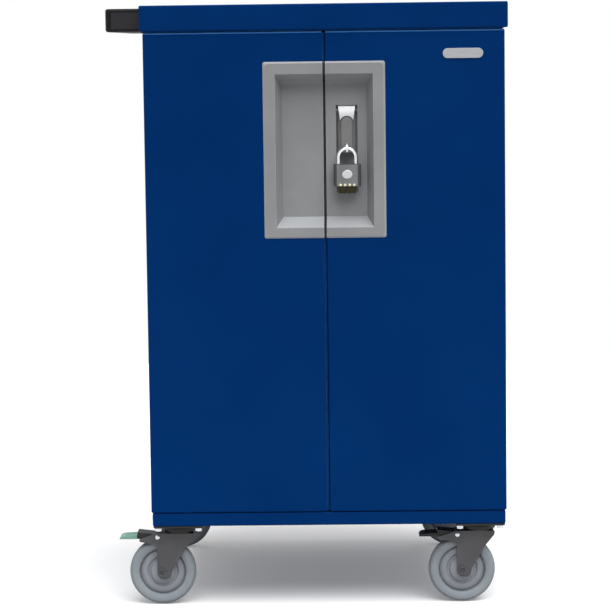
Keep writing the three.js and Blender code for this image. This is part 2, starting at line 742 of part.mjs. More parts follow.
// An angle bracket on the door's lip with a slot that guides one rod
function rodGuide({ side, guide }) {
  const x = LATCH_OFFSET + side * CRANK_RADIUS;
  const half = ROD_GUIDE_WIDTH / 2;
  const thick = ROD_GUIDE_THICKNESS / 2;
  const shelfBackY = rodY + ROD_THICKNESS + ROD_GUIDE_THICKNESS;
  const web = block(x - half, x + half, doorBackY - SHEET, shelfBackY, guide - thick, guide + thick);
  return web.subtract(block(
    x - ROD_WIDTH / 2 - SEAT, x + ROD_WIDTH / 2 + SEAT,
    rodY - SEAT, rodY + ROD_THICKNESS + SEAT,
    guide - ROD_GUIDE_THICKNESS, guide + ROD_GUIDE_THICKNESS,
  ));
}

function latchDoor() {
  return doorBlank().add(rodGuide(rods.upper)).add(rodGuide(rods.lower));
}

// A flat lock rod with a wide foot and a cross slot for its crank pin
function lockRod({ side, end }) {
  const x = LATCH_OFFSET + side * CRANK_RADIUS;
  const heel = rotorZ - side * ROD_WIDTH / 2;
  const backY = rodY + ROD_THICKNESS;
  const bar = block(
    x - ROD_WIDTH / 2, x + ROD_WIDTH / 2,
    rodY, backY,
    Math.min(heel, end), Math.max(heel, end),
  );
  const foot = block(
    x - ROD_WIDTH, x + ROD_WIDTH,
    rodY, backY,
    rotorZ - ROD_WIDTH / 2, rotorZ + ROD_WIDTH / 2,
  );
  const arcX = x - side * CRANK_SIDE_TRAVEL;
  const slotEnd = CRANK_PIN_RADIUS + PIN_FIT;
  const slotHalf = CRANK_PIN_RADIUS + CRANK_SLACK;
  return bar.add(foot).subtract(block(
    Math.min(arcX, x) - slotEnd, Math.max(arcX, x) + slotEnd,
    rodY - OVERLAP, backY + OVERLAP,
    rotorZ - slotHalf, rotorZ + slotHalf,
  ));
}

// The rotor: a disc on the spindle with two crank pins
function latchRotor() {
  const backY = rotorY + ROTOR_THICKNESS;
  const spindleY = cupFloorY + POCKET_DEPTH - SEAT;
  let rotor = barY(ROTOR_RADIUS, rotorY, backY, LATCH_OFFSET, rotorZ, SIDES_LARGE);
  rotor = rotor.add(barY(SPINDLE_RADIUS, spindleY, rotorY + OVERLAP, LATCH_OFFSET, rotorZ));
  for (const side of [-1, 1]) {
    const x = LATCH_OFFSET + side * CRANK_RADIUS;
    rotor = rotor.add(barY(CRANK_PIN_RADIUS, backY - OVERLAP, rodY + ROD_THICKNESS + SEAT, x, rotorZ));
  }
  return rotor;
}

// The lever: a plate with a sloped head, a raised tongue with a round top, and an eye for the padlock
function latchLever() {
  const frontY = cupFloorY - LEVER_PROUD;
  const plateFrontY = cupFloorY - LEVER_PLATE_PROUD;
  const backY = cupFloorY + LEVER_SUNK;
  const bottomZ = leverTopZ - LEVER_LENGTH;
  const headZ = leverTopZ - LEVER_HEAD;
  const half = LEVER_WIDTH / 2;
  const tongue = new THREE.Shape();
  tongue.moveTo(LATCH_OFFSET - half, bottomZ);
  tongue.lineTo(LATCH_OFFSET + half, bottomZ);
  tongue.absarc(LATCH_OFFSET, headZ - half, half, 0, Math.PI);
  const plate = new THREE.Shape();
  plate.moveTo(plateFrontY, bottomZ);
  plate.lineTo(backY, bottomZ);
  plate.lineTo(backY, leverTopZ);
  plate.lineTo(backY - LEVER_TOP_EDGE, leverTopZ);
  plate.lineTo(plateFrontY, headZ);
  const eye = new THREE.Shape();
  eye.moveTo(frontY + OVERLAP, bottomZ);
  eye.lineTo(frontY + OVERLAP, bottomZ + EYE_HEIGHT);
  eye.absarc(eyeY, eyeZ, EYE_HEIGHT / 2, Math.PI / 2, 1.5 * Math.PI);
  const hole = new THREE.Path();
  hole.absarc(eyeY, eyeZ, EYE_HOLE_RADIUS, 0, 2 * Math.PI);
  eye.holes.push(hole);
  const pinHalf = POCKET_WIDTH / 2 + CUP_WALL;
  return plateY(tongue, frontY, backY)
    .add(plateX(plate, LATCH_OFFSET - LEVER_PLATE_WIDTH / 2, LATCH_OFFSET + LEVER_PLATE_WIDTH / 2))
    .add(plateX(eye, LATCH_OFFSET - EYE_THICKNESS / 2, LATCH_OFFSET + EYE_THICKNESS / 2))
    .add(barX(LEVER_PIVOT_RADIUS, LATCH_OFFSET - pinHalf, LATCH_OFFSET + pinHalf, leverPivotY, leverPivotZ));
}

// The padlock's shackle: a round bar along two legs and a half-round bow
class ShackleLine extends THREE.Curve {
  getPoint(t, target = new THREE.Vector3()) {
    const radius = SHACKLE_WIDTH / 2 - SHACKLE_RADIUS;
    const leg = eyeZ - radius - (lockTopZ - SHACKLE_SOCKET);
    const bow = Math.PI * radius;
    const run = t * (2 * leg + bow);
    const angle = THREE.MathUtils.clamp((run - leg) / radius, 0, Math.PI);
    const below = Math.max(leg - run, 0, run - leg - bow);
    const x = LATCH_OFFSET - radius * Math.cos(angle);
    return target.set(x, eyeY, eyeZ - radius + radius * Math.sin(angle) - below);
  }
}

function padlockShackle() {
  const section = new THREE.Shape();
  section.absarc(0, 0, SHACKLE_RADIUS, 0, 2 * Math.PI);
  return solid(new THREE.ExtrudeGeometry(section, {
    extrudePath: new ShackleLine(),
    steps: 16,
    curveSegments: 4,
  }));
}

// The lock body, with leg sockets, a slot for the dials, and lugs that hold the dials' axle
const dialZ = lockTopZ - LOCK_HEIGHT - DIAL_AXLE_DROP;
const dialPitch = DIAL_WIDTH + DIAL_SPACING;
const dialSlotHalf = (DIAL_COUNT * dialPitch + DIAL_SPACING) / 2;

function padlockBody() {
  const frontY = eyeY - LOCK_THICKNESS / 2;
  const bottomZ = lockTopZ - LOCK_HEIGHT;
  const outline = roundedRectangle(
    LATCH_OFFSET - LOCK_WIDTH / 2, LATCH_OFFSET + LOCK_WIDTH / 2,
    bottomZ, lockTopZ,
    LOCK_CORNER,
  );
  const edge = LOCK_CORNER / 3;
  const geometry = new THREE.ExtrudeGeometry(outline, {
    depth: LOCK_THICKNESS - 2 * edge,
    bevelSize: edge,
    bevelOffset: -edge,
    bevelThickness: edge,
    bevelSegments: 1,
    curveSegments: 4,
  });
  let body = solid(geometry.rotateX(Math.PI / 2).translate(0, frontY + LOCK_THICKNESS - edge, 0));
  const legX = SHACKLE_WIDTH / 2 - SHACKLE_RADIUS;
  for (const side of [-1, 1]) {
    const socket = barZ(
      SHACKLE_RADIUS + PIN_FIT,
      lockTopZ - SHACKLE_SOCKET - SEAT, lockTopZ + OVERLAP,
      LATCH_OFFSET + side * legX, eyeY,
    );
    body = body.subtract(socket);
  }
  for (const side of [-1, 1]) {
    const inner = LATCH_OFFSET + side * dialSlotHalf;
    const outer = inner + side * DIAL_LUG;
    body = body.add(barX(
      DIAL_LUG_RADIUS,
      Math.min(inner, outer), Math.max(inner, outer),
      eyeY, dialZ,
      SIDES_LARGE,
    ));
  }
  body = body.subtract(block(
    LATCH_OFFSET - dialSlotHalf, LATCH_OFFSET + dialSlotHalf,
    eyeY - DIAL_RADIUS - SEAT, eyeY + DIAL_RADIUS + SEAT,
    bottomZ - OVERLAP, dialZ + DIAL_RADIUS + SEAT,
  ));
  return body.add(barX(
    DIAL_AXLE_RADIUS,
    LATCH_OFFSET - dialSlotHalf - OVERLAP, LATCH_OFFSET + dialSlotHalf + OVERLAP,
    eyeY, dialZ,
  ));
}

function dial(index) {
  const x = LATCH_OFFSET + (index - (DIAL_COUNT - 1) / 2) * dialPitch;
  const wheel = barX(DIAL_RADIUS, x - DIAL_WIDTH / 2, x + DIAL_WIDTH / 2, eyeY, dialZ, SIDES_LARGE);
  return wheel.subtract(barX(
    DIAL_AXLE_RADIUS + PIN_FIT,
    x - DIAL_WIDTH, x + DIAL_WIDTH,
    eyeY, dialZ,
  ));
}

// Rear door: one full-width pan with two banks of louvre slots above and below
function rearDoor() {
  const middleZ = (doorBottomZ + doorTopZ) / 2;
  let door = placed(
    foldedPan(2 * doorEdgeX, DOOR_HEIGHT, DOOR_THICKNESS, DOOR_LIP),
    [0, 0, 180],
    [0, -doorFaceY, middleZ],
  );
  for (const side of [-1, 1]) {
    for (const bank of [-1, 1]) {
      for (let row = 0; row < LOUVRE_ROWS; row += 1) {
        const z = middleZ + bank * LOUVRE_BANK_Z + (row - (LOUVRE_ROWS - 1) / 2) * LOUVRE_PITCH;
        const x = side * LOUVRE_BANK_X;
        door = door.subtract(block(
          x - LOUVRE_LENGTH / 2, x + LOUVRE_LENGTH / 2,
          -doorFaceY - 2 * SHEET, -doorFaceY + SHEET,
          z - LOUVRE_HEIGHT / 2, z + LOUVRE_HEIGHT / 2,
        ));
      }
    }
  }
  const lockHole = barY(
    REAR_BARREL_RADIUS + PIN_FIT,
    -doorFaceY - 2 * SHEET, -doorFaceY + SHEET,
    rearLockX, middleZ,
    SIDES_LARGE,
  );
  return door.subtract(pinHoles(pinX, -pinY)).subtract(lockHole);
}

// The rear key lock: head, barrel and a cam that turns behind the side panel's flange
const rearLockX = -doorEdgeX + REAR_LOCK_INSET;

function rearLock() {
  const z = (doorBottomZ + doorTopZ) / 2;
  const camBackY = -frameFrontY - SHEET - CAM_GAP;
  const headY = -doorFaceY + SEAT;
  const [slotWidth, slotHeight] = KEY_SLOT;
  const cam = block(
    rearLockX - CAM_WIDTH / 2, rearLockX + CAM_WIDTH / 2,
    camBackY - CAM_THICKNESS, camBackY,
    z - CAM_LENGTH, z + CAM_WIDTH / 2,
  );
  return barY(REAR_LOCK_RADIUS, headY, headY + REAR_LOCK_PROUD, rearLockX, z, SIDES_LARGE)
    .add(barY(REAR_BARREL_RADIUS, camBackY - OVERLAP, headY + OVERLAP, rearLockX, z, SIDES_LARGE))
    .add(cam)
    .subtract(block(
      rearLockX - slotWidth / 2, rearLockX + slotWidth / 2,
      headY, headY + REAR_LOCK_PROUD + OVERLAP,
      z - slotHeight / 2, z + slotHeight / 2,
    ));
}

// A pivot pin with the collar that keeps the door off its neighbour
function pivotPin(x, y, atTop) {
  const profile = [
    [0, -SHEET - SEAT],
    [PIN_RADIUS, -SHEET - SEAT],
    [PIN_RADIUS, SEAT],
    [COLLAR_RADIUS, SEAT],
    [COLLAR_RADIUS, DOOR_CLEARANCE - SEAT],
    [PIN_RADIUS, DOOR_CLEARANCE - SEAT],
    [PIN_RADIUS, DOOR_CLEARANCE + PIN_REACH],
    [0, DOOR_CLEARANCE + PIN_REACH],
  ];
  const turn = atTop ? -90 : 90;
  return placed(turned(profile, SIDES_SMALL), [turn, 0, 0], [x, y, atTop ? roofZ : baseTopZ]);
}

// The push handle: a moulded loop with rounded edges and a sunk panel on each end
const handleRootX = -BODY_WIDTH / 2 - TOP_OVERHANG - SEAT;
const handleBottomZ = topBottomZ;

function pushHandle() {
  const loop = new THREE.Shape();
  const half = HANDLE_LENGTH / 2;
  const tipX = handleRootX - HANDLE_REACH;
  loop.moveTo(handleRootX, -half);
  loop.lineTo(handleRootX, half);
  loop.absarc(tipX + HANDLE_CORNER, half - HANDLE_CORNER, HANDLE_CORNER, Math.PI / 2, Math.PI);
  loop.absarc(tipX + HANDLE_CORNER, -half + HANDLE_CORNER, HANDLE_CORNER, Math.PI, 1.5 * Math.PI);
  const grip = roundedRectangle(
    tipX + HANDLE_GRIP, handleRootX + HANDLE_GRIP,
    -half + HANDLE_ARM, half - HANDLE_ARM,
    HANDLE_CORNER - HANDLE_EDGE,
  );
  const bar = new THREE.ExtrudeGeometry(loop, {
    depth: HANDLE_HEIGHT - 2 * HANDLE_EDGE,
    bevelSize: HANDLE_EDGE,
    bevelOffset: -HANDLE_EDGE,
    bevelThickness: HANDLE_EDGE,
    bevelSegments: 2,
    curveSegments: 3,
  });
  let handle = solid(bar.translate(0, 0, handleBottomZ + HANDLE_EDGE));
  handle = handle.subtract(plateZ(grip, handleBottomZ - HANDLE_HEIGHT, handleBottomZ + 2 * HANDLE_HEIGHT, 3));
  for (const end of [-1, 1]) {
    const panel = roundedRectangle(
      tipX + HANDLE_CORNER, handleRootX - HANDLE_PANEL_RIM,
      handleBottomZ + HANDLE_EDGE, handleBottomZ + HANDLE_HEIGHT - HANDLE_EDGE,
      HANDLE_PANEL_RIM / 2,
    );
    const y0 = end > 0 ? half - HANDLE_PANEL_SUNK : -half - HANDLE_EDGE;
    const y1 = end > 0 ? half + HANDLE_EDGE : -half + HANDLE_PANEL_SUNK;
    handle = handle.subtract(plateY(panel, y0, y1, 3));
  }
  return handle;
}

// Caster pieces, drawn about the swivel axis with the wheel trailing to the left
const axleX = -CASTER_TRAIL;
const axleZ = WHEEL_RADIUS;

// Facets are drawn through their middles, so that the wheel stands on a flat of its true radius
function wheelRing(profile) {
  const across = profile.map(([radius, y]) => [acrossFlats(radius, WHEEL_FACETS), y]);
  return placed(turned(across, WHEEL_FACETS, Math.PI / WHEEL_FACETS), [0, 0, 0], [axleX, 0, axleZ]);
}

const bothSides = (half) => [...half, ...half.map(([radius, y]) => [radius, -y]).reverse()];

function tyre() {
  const shoulder = WHEEL_RADIUS - (TYRE_WIDTH - TYRE_TREAD) / 4;
  return wheelRing(bothSides([
    [TYRE_SEAT_RADIUS, TYRE_SEAT_WIDTH / 2],
    [TYRE_SEAT_RADIUS + (TYRE_WIDTH - TYRE_SEAT_WIDTH), TYRE_WIDTH / 2],
    [shoulder, TYRE_WIDTH / 2 - (TYRE_WIDTH - TYRE_TREAD) / 8],
    [WHEEL_RADIUS, TYRE_TREAD / 2],
  ]));
}

function hub() {
  const rim = TYRE_SEAT_RADIUS - SEAT;
  const collar = FORK_INNER / 2 - SEAT;
  return wheelRing(bothSides([
    [AXLE_RADIUS + PIN_FIT, collar],
    [AXLE_HEAD_RADIUS, collar],
    [HUB_BOSS_RADIUS, HUB_WEB_WIDTH / 2],
    [rim - HUB_RIM, HUB_WEB_WIDTH / 2],
    [rim, TYRE_SEAT_WIDTH / 2],
  ]));
}

function wheelAxle() {
  const seatY = FORK_INNER / 2 + FORK_PLATE + SEAT;
  const profile = bothSides([
    [0, seatY + AXLE_HEAD],
    [AXLE_HEAD_RADIUS, seatY + AXLE_HEAD],
    [AXLE_HEAD_RADIUS, seatY],
    [AXLE_RADIUS, seatY],
  ]);
  return placed(turned(profile, SIDES_SMALL), [0, 0, 0], [axleX, 0, axleZ]);
}

// The fork: two pressed cheeks under a crown, each with a wing for the brake pedal
function casterFork() {
  const footX = axleX + FORK_FOOT_OFFSET;
  const [neckX, neckDrop] = FORK_NECK;
  const [waistX, waistDrop] = FORK_WAIST;
  const [rootZ, curveZ, lowerTipZ, upperTipZ] = WING_DROPS.map((drop) => pedalPivotZ - drop);
  const cheek = new THREE.Shape();
  cheek.moveTo(CROWN_FRONT, crownTopZ);
  cheek.lineTo(CROWN_FRONT, crownTopZ - FORK_SHOULDER);
  cheek.quadraticCurveTo(neckX, crownTopZ - neckDrop, waistX, crownTopZ - waistDrop);
  cheek.lineTo(footX + FORK_FOOT_RADIUS, axleZ);
  cheek.absarc(footX, axleZ, FORK_FOOT_RADIUS, 0, -Math.PI, true);
  cheek.lineTo(footX - FORK_FOOT_RADIUS, rootZ);
  cheek.quadraticCurveTo(footX - FORK_FOOT_RADIUS, curveZ, -WING_REACH, lowerTipZ);
  cheek.lineTo(-WING_REACH, upperTipZ);
  cheek.lineTo(-PEDAL_PIVOT_X - WING_HUMP, pedalPivotZ + WING_HUMP);
  cheek.lineTo(-CROWN_BACK, crownTopZ);
  const curveSegments = 4;
  const pinHole = new THREE.Path();
  const pinHoleRadius = acrossFlats(PEDAL_PIVOT_RADIUS + PIN_FIT, 2 * curveSegments);
  pinHole.absarc(-PEDAL_PIVOT_X, pedalPivotZ, pinHoleRadius, 0, 2 * Math.PI);
  const axleHole = new THREE.Path();
  axleHole.absarc(axleX, axleZ, acrossFlats(AXLE_RADIUS + PIN_FIT, 2 * curveSegments), 0, 2 * Math.PI);
  cheek.holes.push(pinHole, axleHole);
  const inner = FORK_INNER / 2;
  const crown = block(
    -CROWN_BACK, CROWN_FRONT,
    -inner - FORK_PLATE, inner + FORK_PLATE,
    crownTopZ - CROWN_THICKNESS, crownTopZ,
  );
  return crown
    .add(plateY(cheek, -inner - FORK_PLATE, -inner, curveSegments))
    .add(plateY(cheek, inner, inner + FORK_PLATE, curveSegments));
}

// The swivel plate with its raceway and four bolt heads
function casterPlate() {
  const plan = roundedRectangle(
    -PLATE_WIDTH / 2, PLATE_WIDTH / 2,
    -PLATE_DEPTH / 2, PLATE_DEPTH / 2,
    BOLT_RADIUS,
  );
  const raceBottomZ = crownTopZ + SEAT;
  const rise = plateBottomZ - raceBottomZ;
  const raceway = turned([
    [0, 0],
    [RACEWAY_RADIUS - RACEWAY_CHAMFER, 0],
    [RACEWAY_RADIUS, rise / 3],
    [RACEWAY_RADIUS, 2 * rise / 3],
    [RACEWAY_RADIUS - RACEWAY_CHAMFER, rise + OVERLAP],
    [0, rise + OVERLAP],
  ], SIDES);
  let plate = plateZ(plan, plateBottomZ, plateBottomZ + PLATE_THICKNESS);
  plate = plate.add(placed(raceway, [90, 0, 0], [0, 0, raceBottomZ]));
  const [spreadX, spreadY] = BOLT_SPREAD;
  for (const x of [-spreadX / 2, spreadX / 2]) {
    for (const y of [-spreadY / 2, spreadY / 2]) {
      plate = plate.add(barZ(BOLT_RADIUS, plateBottomZ - BOLT_HEAD, plateBottomZ + OVERLAP, x, y, HEX));
    }
  }
  return plate;
}

// The brake pedal: a lever between the wings on a cross pin, with a tongue for its pad
const padBottomZ = pedalPivotZ - PEDAL_THICKNESS / 2;
const tongueZ = padBottomZ + PAD_THICKNESS / 2;
const tongueWidth = PAD_WIDTH - 2 * PAD_WALL;

function brakePedal() {
  const half = PEDAL_THICKNESS / 2;
  const side = new THREE.Shape();
  side.moveTo(-PEDAL_INNER_X, pedalPivotZ - half + PEDAL_RELIEF);
  side.lineTo(-PEDAL_INNER_X, pedalPivotZ + half);
  side.lineTo(-PEDAL_PAD_X + SEAT, padBottomZ + PAD_THICKNESS);
  side.lineTo(-PEDAL_PAD_X + SEAT, padBottomZ);
  side.lineTo(-PEDAL_PIVOT_X - 2 * half, pedalPivotZ - half);
  const width = FORK_INNER / 2 - SEAT;
  const tongue = block(
    -PEDAL_END_X + PAD_WALL, -PEDAL_PAD_X + OVERLAP,
    -tongueWidth / 2, tongueWidth / 2,
    tongueZ - PEDAL_TONGUE / 2, tongueZ + PEDAL_TONGUE / 2,
  );
  const cheekY = FORK_INNER / 2 + FORK_PLATE + SEAT;
  const pin = bothSides([
    [0, cheekY + PEDAL_HEAD],
    [PEDAL_HEAD_RADIUS, cheekY + PEDAL_HEAD],
    [PEDAL_HEAD_RADIUS, cheekY],
    [PEDAL_PIVOT_RADIUS, cheekY],
  ]);
  return plateY(side, -width, width)
    .add(tongue)
    .add(placed(turned(pin, SIDES_SMALL), [0, 0, 0], [-PEDAL_PIVOT_X, 0, pedalPivotZ]));
}

// The foot pad slid over the pedal's tongue
function brakePad() {
  const side = new THREE.Shape();
  const top = padBottomZ + PAD_THICKNESS;
  side.moveTo(-PEDAL_PAD_X, padBottomZ);
  side.lineTo(-PEDAL_PAD_X, top);
  side.lineTo(-PEDAL_END_X + PAD_THICKNESS / 2, top);
  side.lineTo(-PEDAL_END_X, padBottomZ + PAD_THICKNESS / 4);
  side.lineTo(-PEDAL_END_X, padBottomZ);
  return plateY(side, -PAD_WIDTH / 2, PAD_WIDTH / 2).subtract(block(
    -PEDAL_END_X + PAD_WALL - SEAT, -PEDAL_PAD_X + OVERLAP,
    -tongueWidth / 2 - SEAT, tongueWidth / 2 + SEAT,
    tongueZ - PEDAL_TONGUE / 2 - SEAT, tongueZ + PEDAL_TONGUE / 2 + SEAT,
  ));
}

// One caster as a group at its swivel axis
function caster(corner, x, y, padMaterial) {
  const group = new THREE.Group();
  group.position.set(x, y, 0);
  group.add(
    piece(`${corner}_caster_plate`, casterPlate(), zincSteel()),
    piece(`${corner}_caster_fork`, casterFork(), forkPaint()),
    piece(`${corner}_wheel_axle`, wheelAxle(), zincSteel()),
    piece(`${corner}_wheel_hub`, hub(), greyPlastic()),
    piece(`${corner}_wheel_tyre`, tyre(), greyRubber()),
  );
  if (padMaterial) {
    group.add(
      piece(`${corner}_brake_pedal`, brakePedal(), blackSteel()),
      piece(`${corner}_brake_pad`, brakePad(), padMaterial),
    );
  }
  return group;
}

// The whole cart
const cart = new THREE.Group();

const cabinet = new THREE.Group();
const rightSide = sidePanel();
cabinet.add(
  piece('base_tray', baseTray(), bluePaint()),
  piece('roof_panel', roofPanel(), bluePaint()),
  piece('top_panel', topPanel(), bluePaint()),
  piece('left_side_panel', mirrored(rightSide), bluePaint()),
  piece('right_side_panel', rightSide.subtract(inletHole()), bluePaint()),
  piece('partition', partition(), bluePaint()),
  piece('shelf', shelf(), bluePaint()),
  piece('lower_divider_rack', dividerRack(baseFloorZ), ventGrey()),
  piece('upper_divider_rack', dividerRack(shelfTopZ), ventGrey()),
  piece('lower_power_strip', powerStrip(baseFloorZ), blackPlastic()),
  piece('upper_power_strip', powerStrip(shelfTopZ), blackPlastic()),
  piece('control_box', controlBox(), ventGrey()),
  piece('power_inlet', powerInlet(), blackPlastic()),
  piece('push_handle', pushHandle(), blackPlastic()),
);
const rocker = piece('rocker_switch', rockerSwitch(), blackPlastic());
rocker.position.set(0, switchPivotY, controlZ);
rocker.rotation.x = THREE.MathUtils.degToRad(SWITCH_TILT);
cabinet.add(rocker);
cart.add(cabinet);

const frontDoors = new THREE.Group();
const plainCup = mirrored(rightCupHalf());
frontDoors.add(
  piece('left_door', mirrored(doorBlank()), bluePaint()),
  piece('right_door', latchDoor(), bluePaint()),
  piece('left_pull_cup', plainCup, silverPlastic()),
  piece('right_pull_cup', latchedCupHalf(), silverPlastic()),
);
for (const [side, x] of [['left', -pinX], ['right', pinX]]) {
  frontDoors.add(
    piece(`${side}_door_top_pin`, pivotPin(x, pinY, true), blackSteel()),
    piece(`${side}_door_bottom_pin`, pivotPin(x, pinY, false), blackSteel()),
  );
}
cart.add(frontDoors);

const latch = new THREE.Group();
latch.add(
  piece('latch_lever', latchLever(), darkMetal()),
  piece('latch_rotor', latchRotor(), zincSteel()),
  piece('upper_lock_rod', lockRod(rods.upper), zincSteel()),
  piece('lower_lock_rod', lockRod(rods.lower), zincSteel()),
  piece('padlock_shackle', padlockShackle(), chrome()),
  piece('padlock_body', padlockBody(), darkMetal()),
);
for (let i = 0; i < DIAL_COUNT; i += 1) {
  latch.add(piece(`padlock_dial_${i + 1}`, dial(i), brass()));
}
cart.add(latch);

const rear = new THREE.Group();
rear.add(
  piece('rear_door', rearDoor(), bluePaint()),
  piece('rear_lock', rearLock(), zincSteel()),
);
cart.add(rear);

const casterX = BODY_WIDTH / 2 - CASTER_INSET_X;
const casterY = CART_DEPTH / 2 - CASTER_INSET_Y;
cart.add(
  caster('front_left', -casterX, -casterY, greenPlastic()),
  caster('front_right', casterX, -casterY, blackPlastic()),
  caster('rear_left', -casterX, casterY),
  caster('rear_right', casterX, casterY),
);

// The origin lies on the floor under the middle of the cart's outer box
const reach = new THREE.Box3().setFromObject(cart, true);
const middle = reach.getCenter(new THREE.Vector3());
cart.position.set(-middle.x, -middle.y, -reach.min.z);

export default cart;
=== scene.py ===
# %% [markdown]
# # A laptop charging cart
# The cart is a folded sheet steel cabinet on four casters. Two front doors share a grey pull cup with a
# padlocked lever, and a rear door closes the bay for the chargers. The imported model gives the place, the
# outer size and the joint of each piece. This lesson makes the surfaces that are seen: rounded folds,
# moulded edges, turned wheels and a finish for each material.

# %% Load the frame
import json
import math

import bmesh
import bpy
from mathutils import Matrix, Vector


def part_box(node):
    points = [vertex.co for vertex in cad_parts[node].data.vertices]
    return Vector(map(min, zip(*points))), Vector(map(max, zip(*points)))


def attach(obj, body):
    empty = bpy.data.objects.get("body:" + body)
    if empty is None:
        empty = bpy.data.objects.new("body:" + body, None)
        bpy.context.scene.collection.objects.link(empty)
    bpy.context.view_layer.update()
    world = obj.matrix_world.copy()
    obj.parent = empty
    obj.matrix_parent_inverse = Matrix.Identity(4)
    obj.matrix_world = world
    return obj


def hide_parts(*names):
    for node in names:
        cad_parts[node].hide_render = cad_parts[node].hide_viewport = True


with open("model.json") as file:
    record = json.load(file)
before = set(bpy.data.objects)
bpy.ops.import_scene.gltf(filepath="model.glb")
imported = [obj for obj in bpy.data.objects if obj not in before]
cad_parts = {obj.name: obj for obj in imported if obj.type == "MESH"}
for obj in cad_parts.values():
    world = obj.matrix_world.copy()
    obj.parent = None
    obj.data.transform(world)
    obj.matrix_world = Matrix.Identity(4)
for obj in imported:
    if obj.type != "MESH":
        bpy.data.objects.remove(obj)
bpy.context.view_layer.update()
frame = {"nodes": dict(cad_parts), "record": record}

MM = 0.001
owner = {node: body for body, members in frame["record"]["behaviour"]["bodies"].items() for node in members}

# %% [markdown]
# ## The camera
# The photograph was taken from straight ahead, near the height of the cart's top, with a long lens that
# looks a little down at the middle of the cart. A camera could be aimed by a constraint. Three plain
# turns are used here, because the small roll of the photograph, where the right side stands a few pixels
# higher, is then one number.

# %% Set the camera
PHOTO_PIXELS = 616
FOCAL_PIXELS = 2518.3
SENSOR_WIDTH = 36.0
CAMERA_PLACE = Vector((47.9, -5024.5, 1061.7)) * MM
CAMERA_PITCH = math.radians(5.952)
CAMERA_YAW = math.radians(1.007)
CAMERA_ROLL = math.radians(0.724)


def add_object(name, data):
    """Puts a camera, a lamp or a mesh into the scene."""
    thing = bpy.data.objects.new(name, data)
    bpy.context.scene.collection.objects.link(thing)
    return thing


top_low, top_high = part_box("top_panel")
centre_x = (top_low.x + top_high.x) / 2
lens = bpy.data.cameras.new("photo_camera")
lens.sensor_width = SENSOR_WIDTH
lens.lens = FOCAL_PIXELS / PHOTO_PIXELS * SENSOR_WIDTH
camera = add_object("photo_camera", lens)
tilt = Matrix.Rotation(math.pi / 2 - CAMERA_PITCH, 4, "X")
turn = Matrix.Rotation(CAMERA_YAW, 4, "Z") @ tilt @ Matrix.Rotation(-CAMERA_ROLL, 4, "Z")
camera.matrix_world = Matrix.Translation(Vector((centre_x, 0, 0)) + CAMERA_PLACE) @ turn
bpy.context.scene.camera = camera
print(f"camera with a {lens.lens:.0f} mm lens")

# %% [markdown]
# ## The studio
# The cart stands on a white sweep under a broad soft light from above, in front and a little to the
# right. Area lamps would need a very large room to stay even. Here one wide sun is the soft light, and
# the world adds a dome that is brighter overhead than at the horizon. The world is white to the camera,
# to reflections and through glass only.

# %% Add and set shader nodes


def set_inputs(tree, node, inputs):
    """Links each input to a socket, or sets it to a plain value."""
    for label, value in inputs.items():
        if isinstance(value, bpy.types.NodeSocket):
            tree.links.new(value, node.inputs[label])
        else:
            node.inputs[label].default_value = value


def add_node(tree, kind, inputs=None, **settings):
    """A new shader node with its settings and inputs."""
    node = tree.nodes.new(f"ShaderNode{kind}")
    for name, value in settings.items():
        setattr(node, name, value)
    set_inputs(tree, node, inputs or {})
    return node


def seen_directly(tree):
    """1 for camera, glossy and transmission rays, and 0 for the rays that carry diffuse light."""
    path = add_node(tree, "LightPath")
    total = path.outputs["Is Camera Ray"]
    for name in ("Is Glossy Ray", "Is Transmission Ray"):
        total = add_node(tree, "Math", {0: total, 1: path.outputs[name]}, operation="MAXIMUM").outputs[0]
    return total


# %% Make the world and the lamp
HORIZON_LIGHT = 0.2
ZENITH_LIGHT = 0.7
SUN_DIRECTION = Vector((0.17, -0.43, 0.89))
SUN_STRENGTH = 3.5
SUN_SPREAD = math.radians(60)
WHITE = (1, 1, 1, 1)

world = bpy.data.worlds.new("white_studio")
bpy.context.scene.world = world
world.use_nodes = True
tree = world.node_tree
sky = add_node(tree, "TexCoord")
height = add_node(tree, "SeparateXYZ", {"Vector": sky.outputs["Generated"]})
dome = add_node(tree, "MapRange", {
    "Value": height.outputs["Z"], "To Min": HORIZON_LIGHT, "To Max": ZENITH_LIGHT})
strength = add_node(tree, "MapRange", {
    "Value": seen_directly(tree), "To Min": dome.outputs["Result"], "To Max": 1.0})
set_inputs(tree, tree.nodes["Background"], {"Color": WHITE, "Strength": strength.outputs["Result"]})

sun = bpy.data.lights.new("overhead_light", "SUN")
sun.energy = SUN_STRENGTH
sun.angle = SUN_SPREAD
lamp = add_object("overhead_light", sun)
lamp.rotation_euler = SUN_DIRECTION.to_track_quat("Z", "Y").to_euler()

bpy.context.scene.view_settings.view_transform = "Standard"
print("a white world and one wide sun")

# %% [markdown]
# The floor is white paper that keeps the cart's shadow. Plain white paper would throw too much light up
# under the cart. So it is darker to the light that bounces than to the camera, which also sees a faint
# glow in it.

# %% Lay the floor
FLOOR_HALF = 3.4
FLOOR_SHADE = 0.9
FLOOR_BOUNCE = 0.48
FLOOR_GLOW = 0.19


def mesh_object(name, bm):
    """Turns a finished shape into an object of the scene."""
    mesh = bpy.data.meshes.new(name)
    bm.to_mesh(mesh)
    bm.free()
    return add_object(name, mesh)


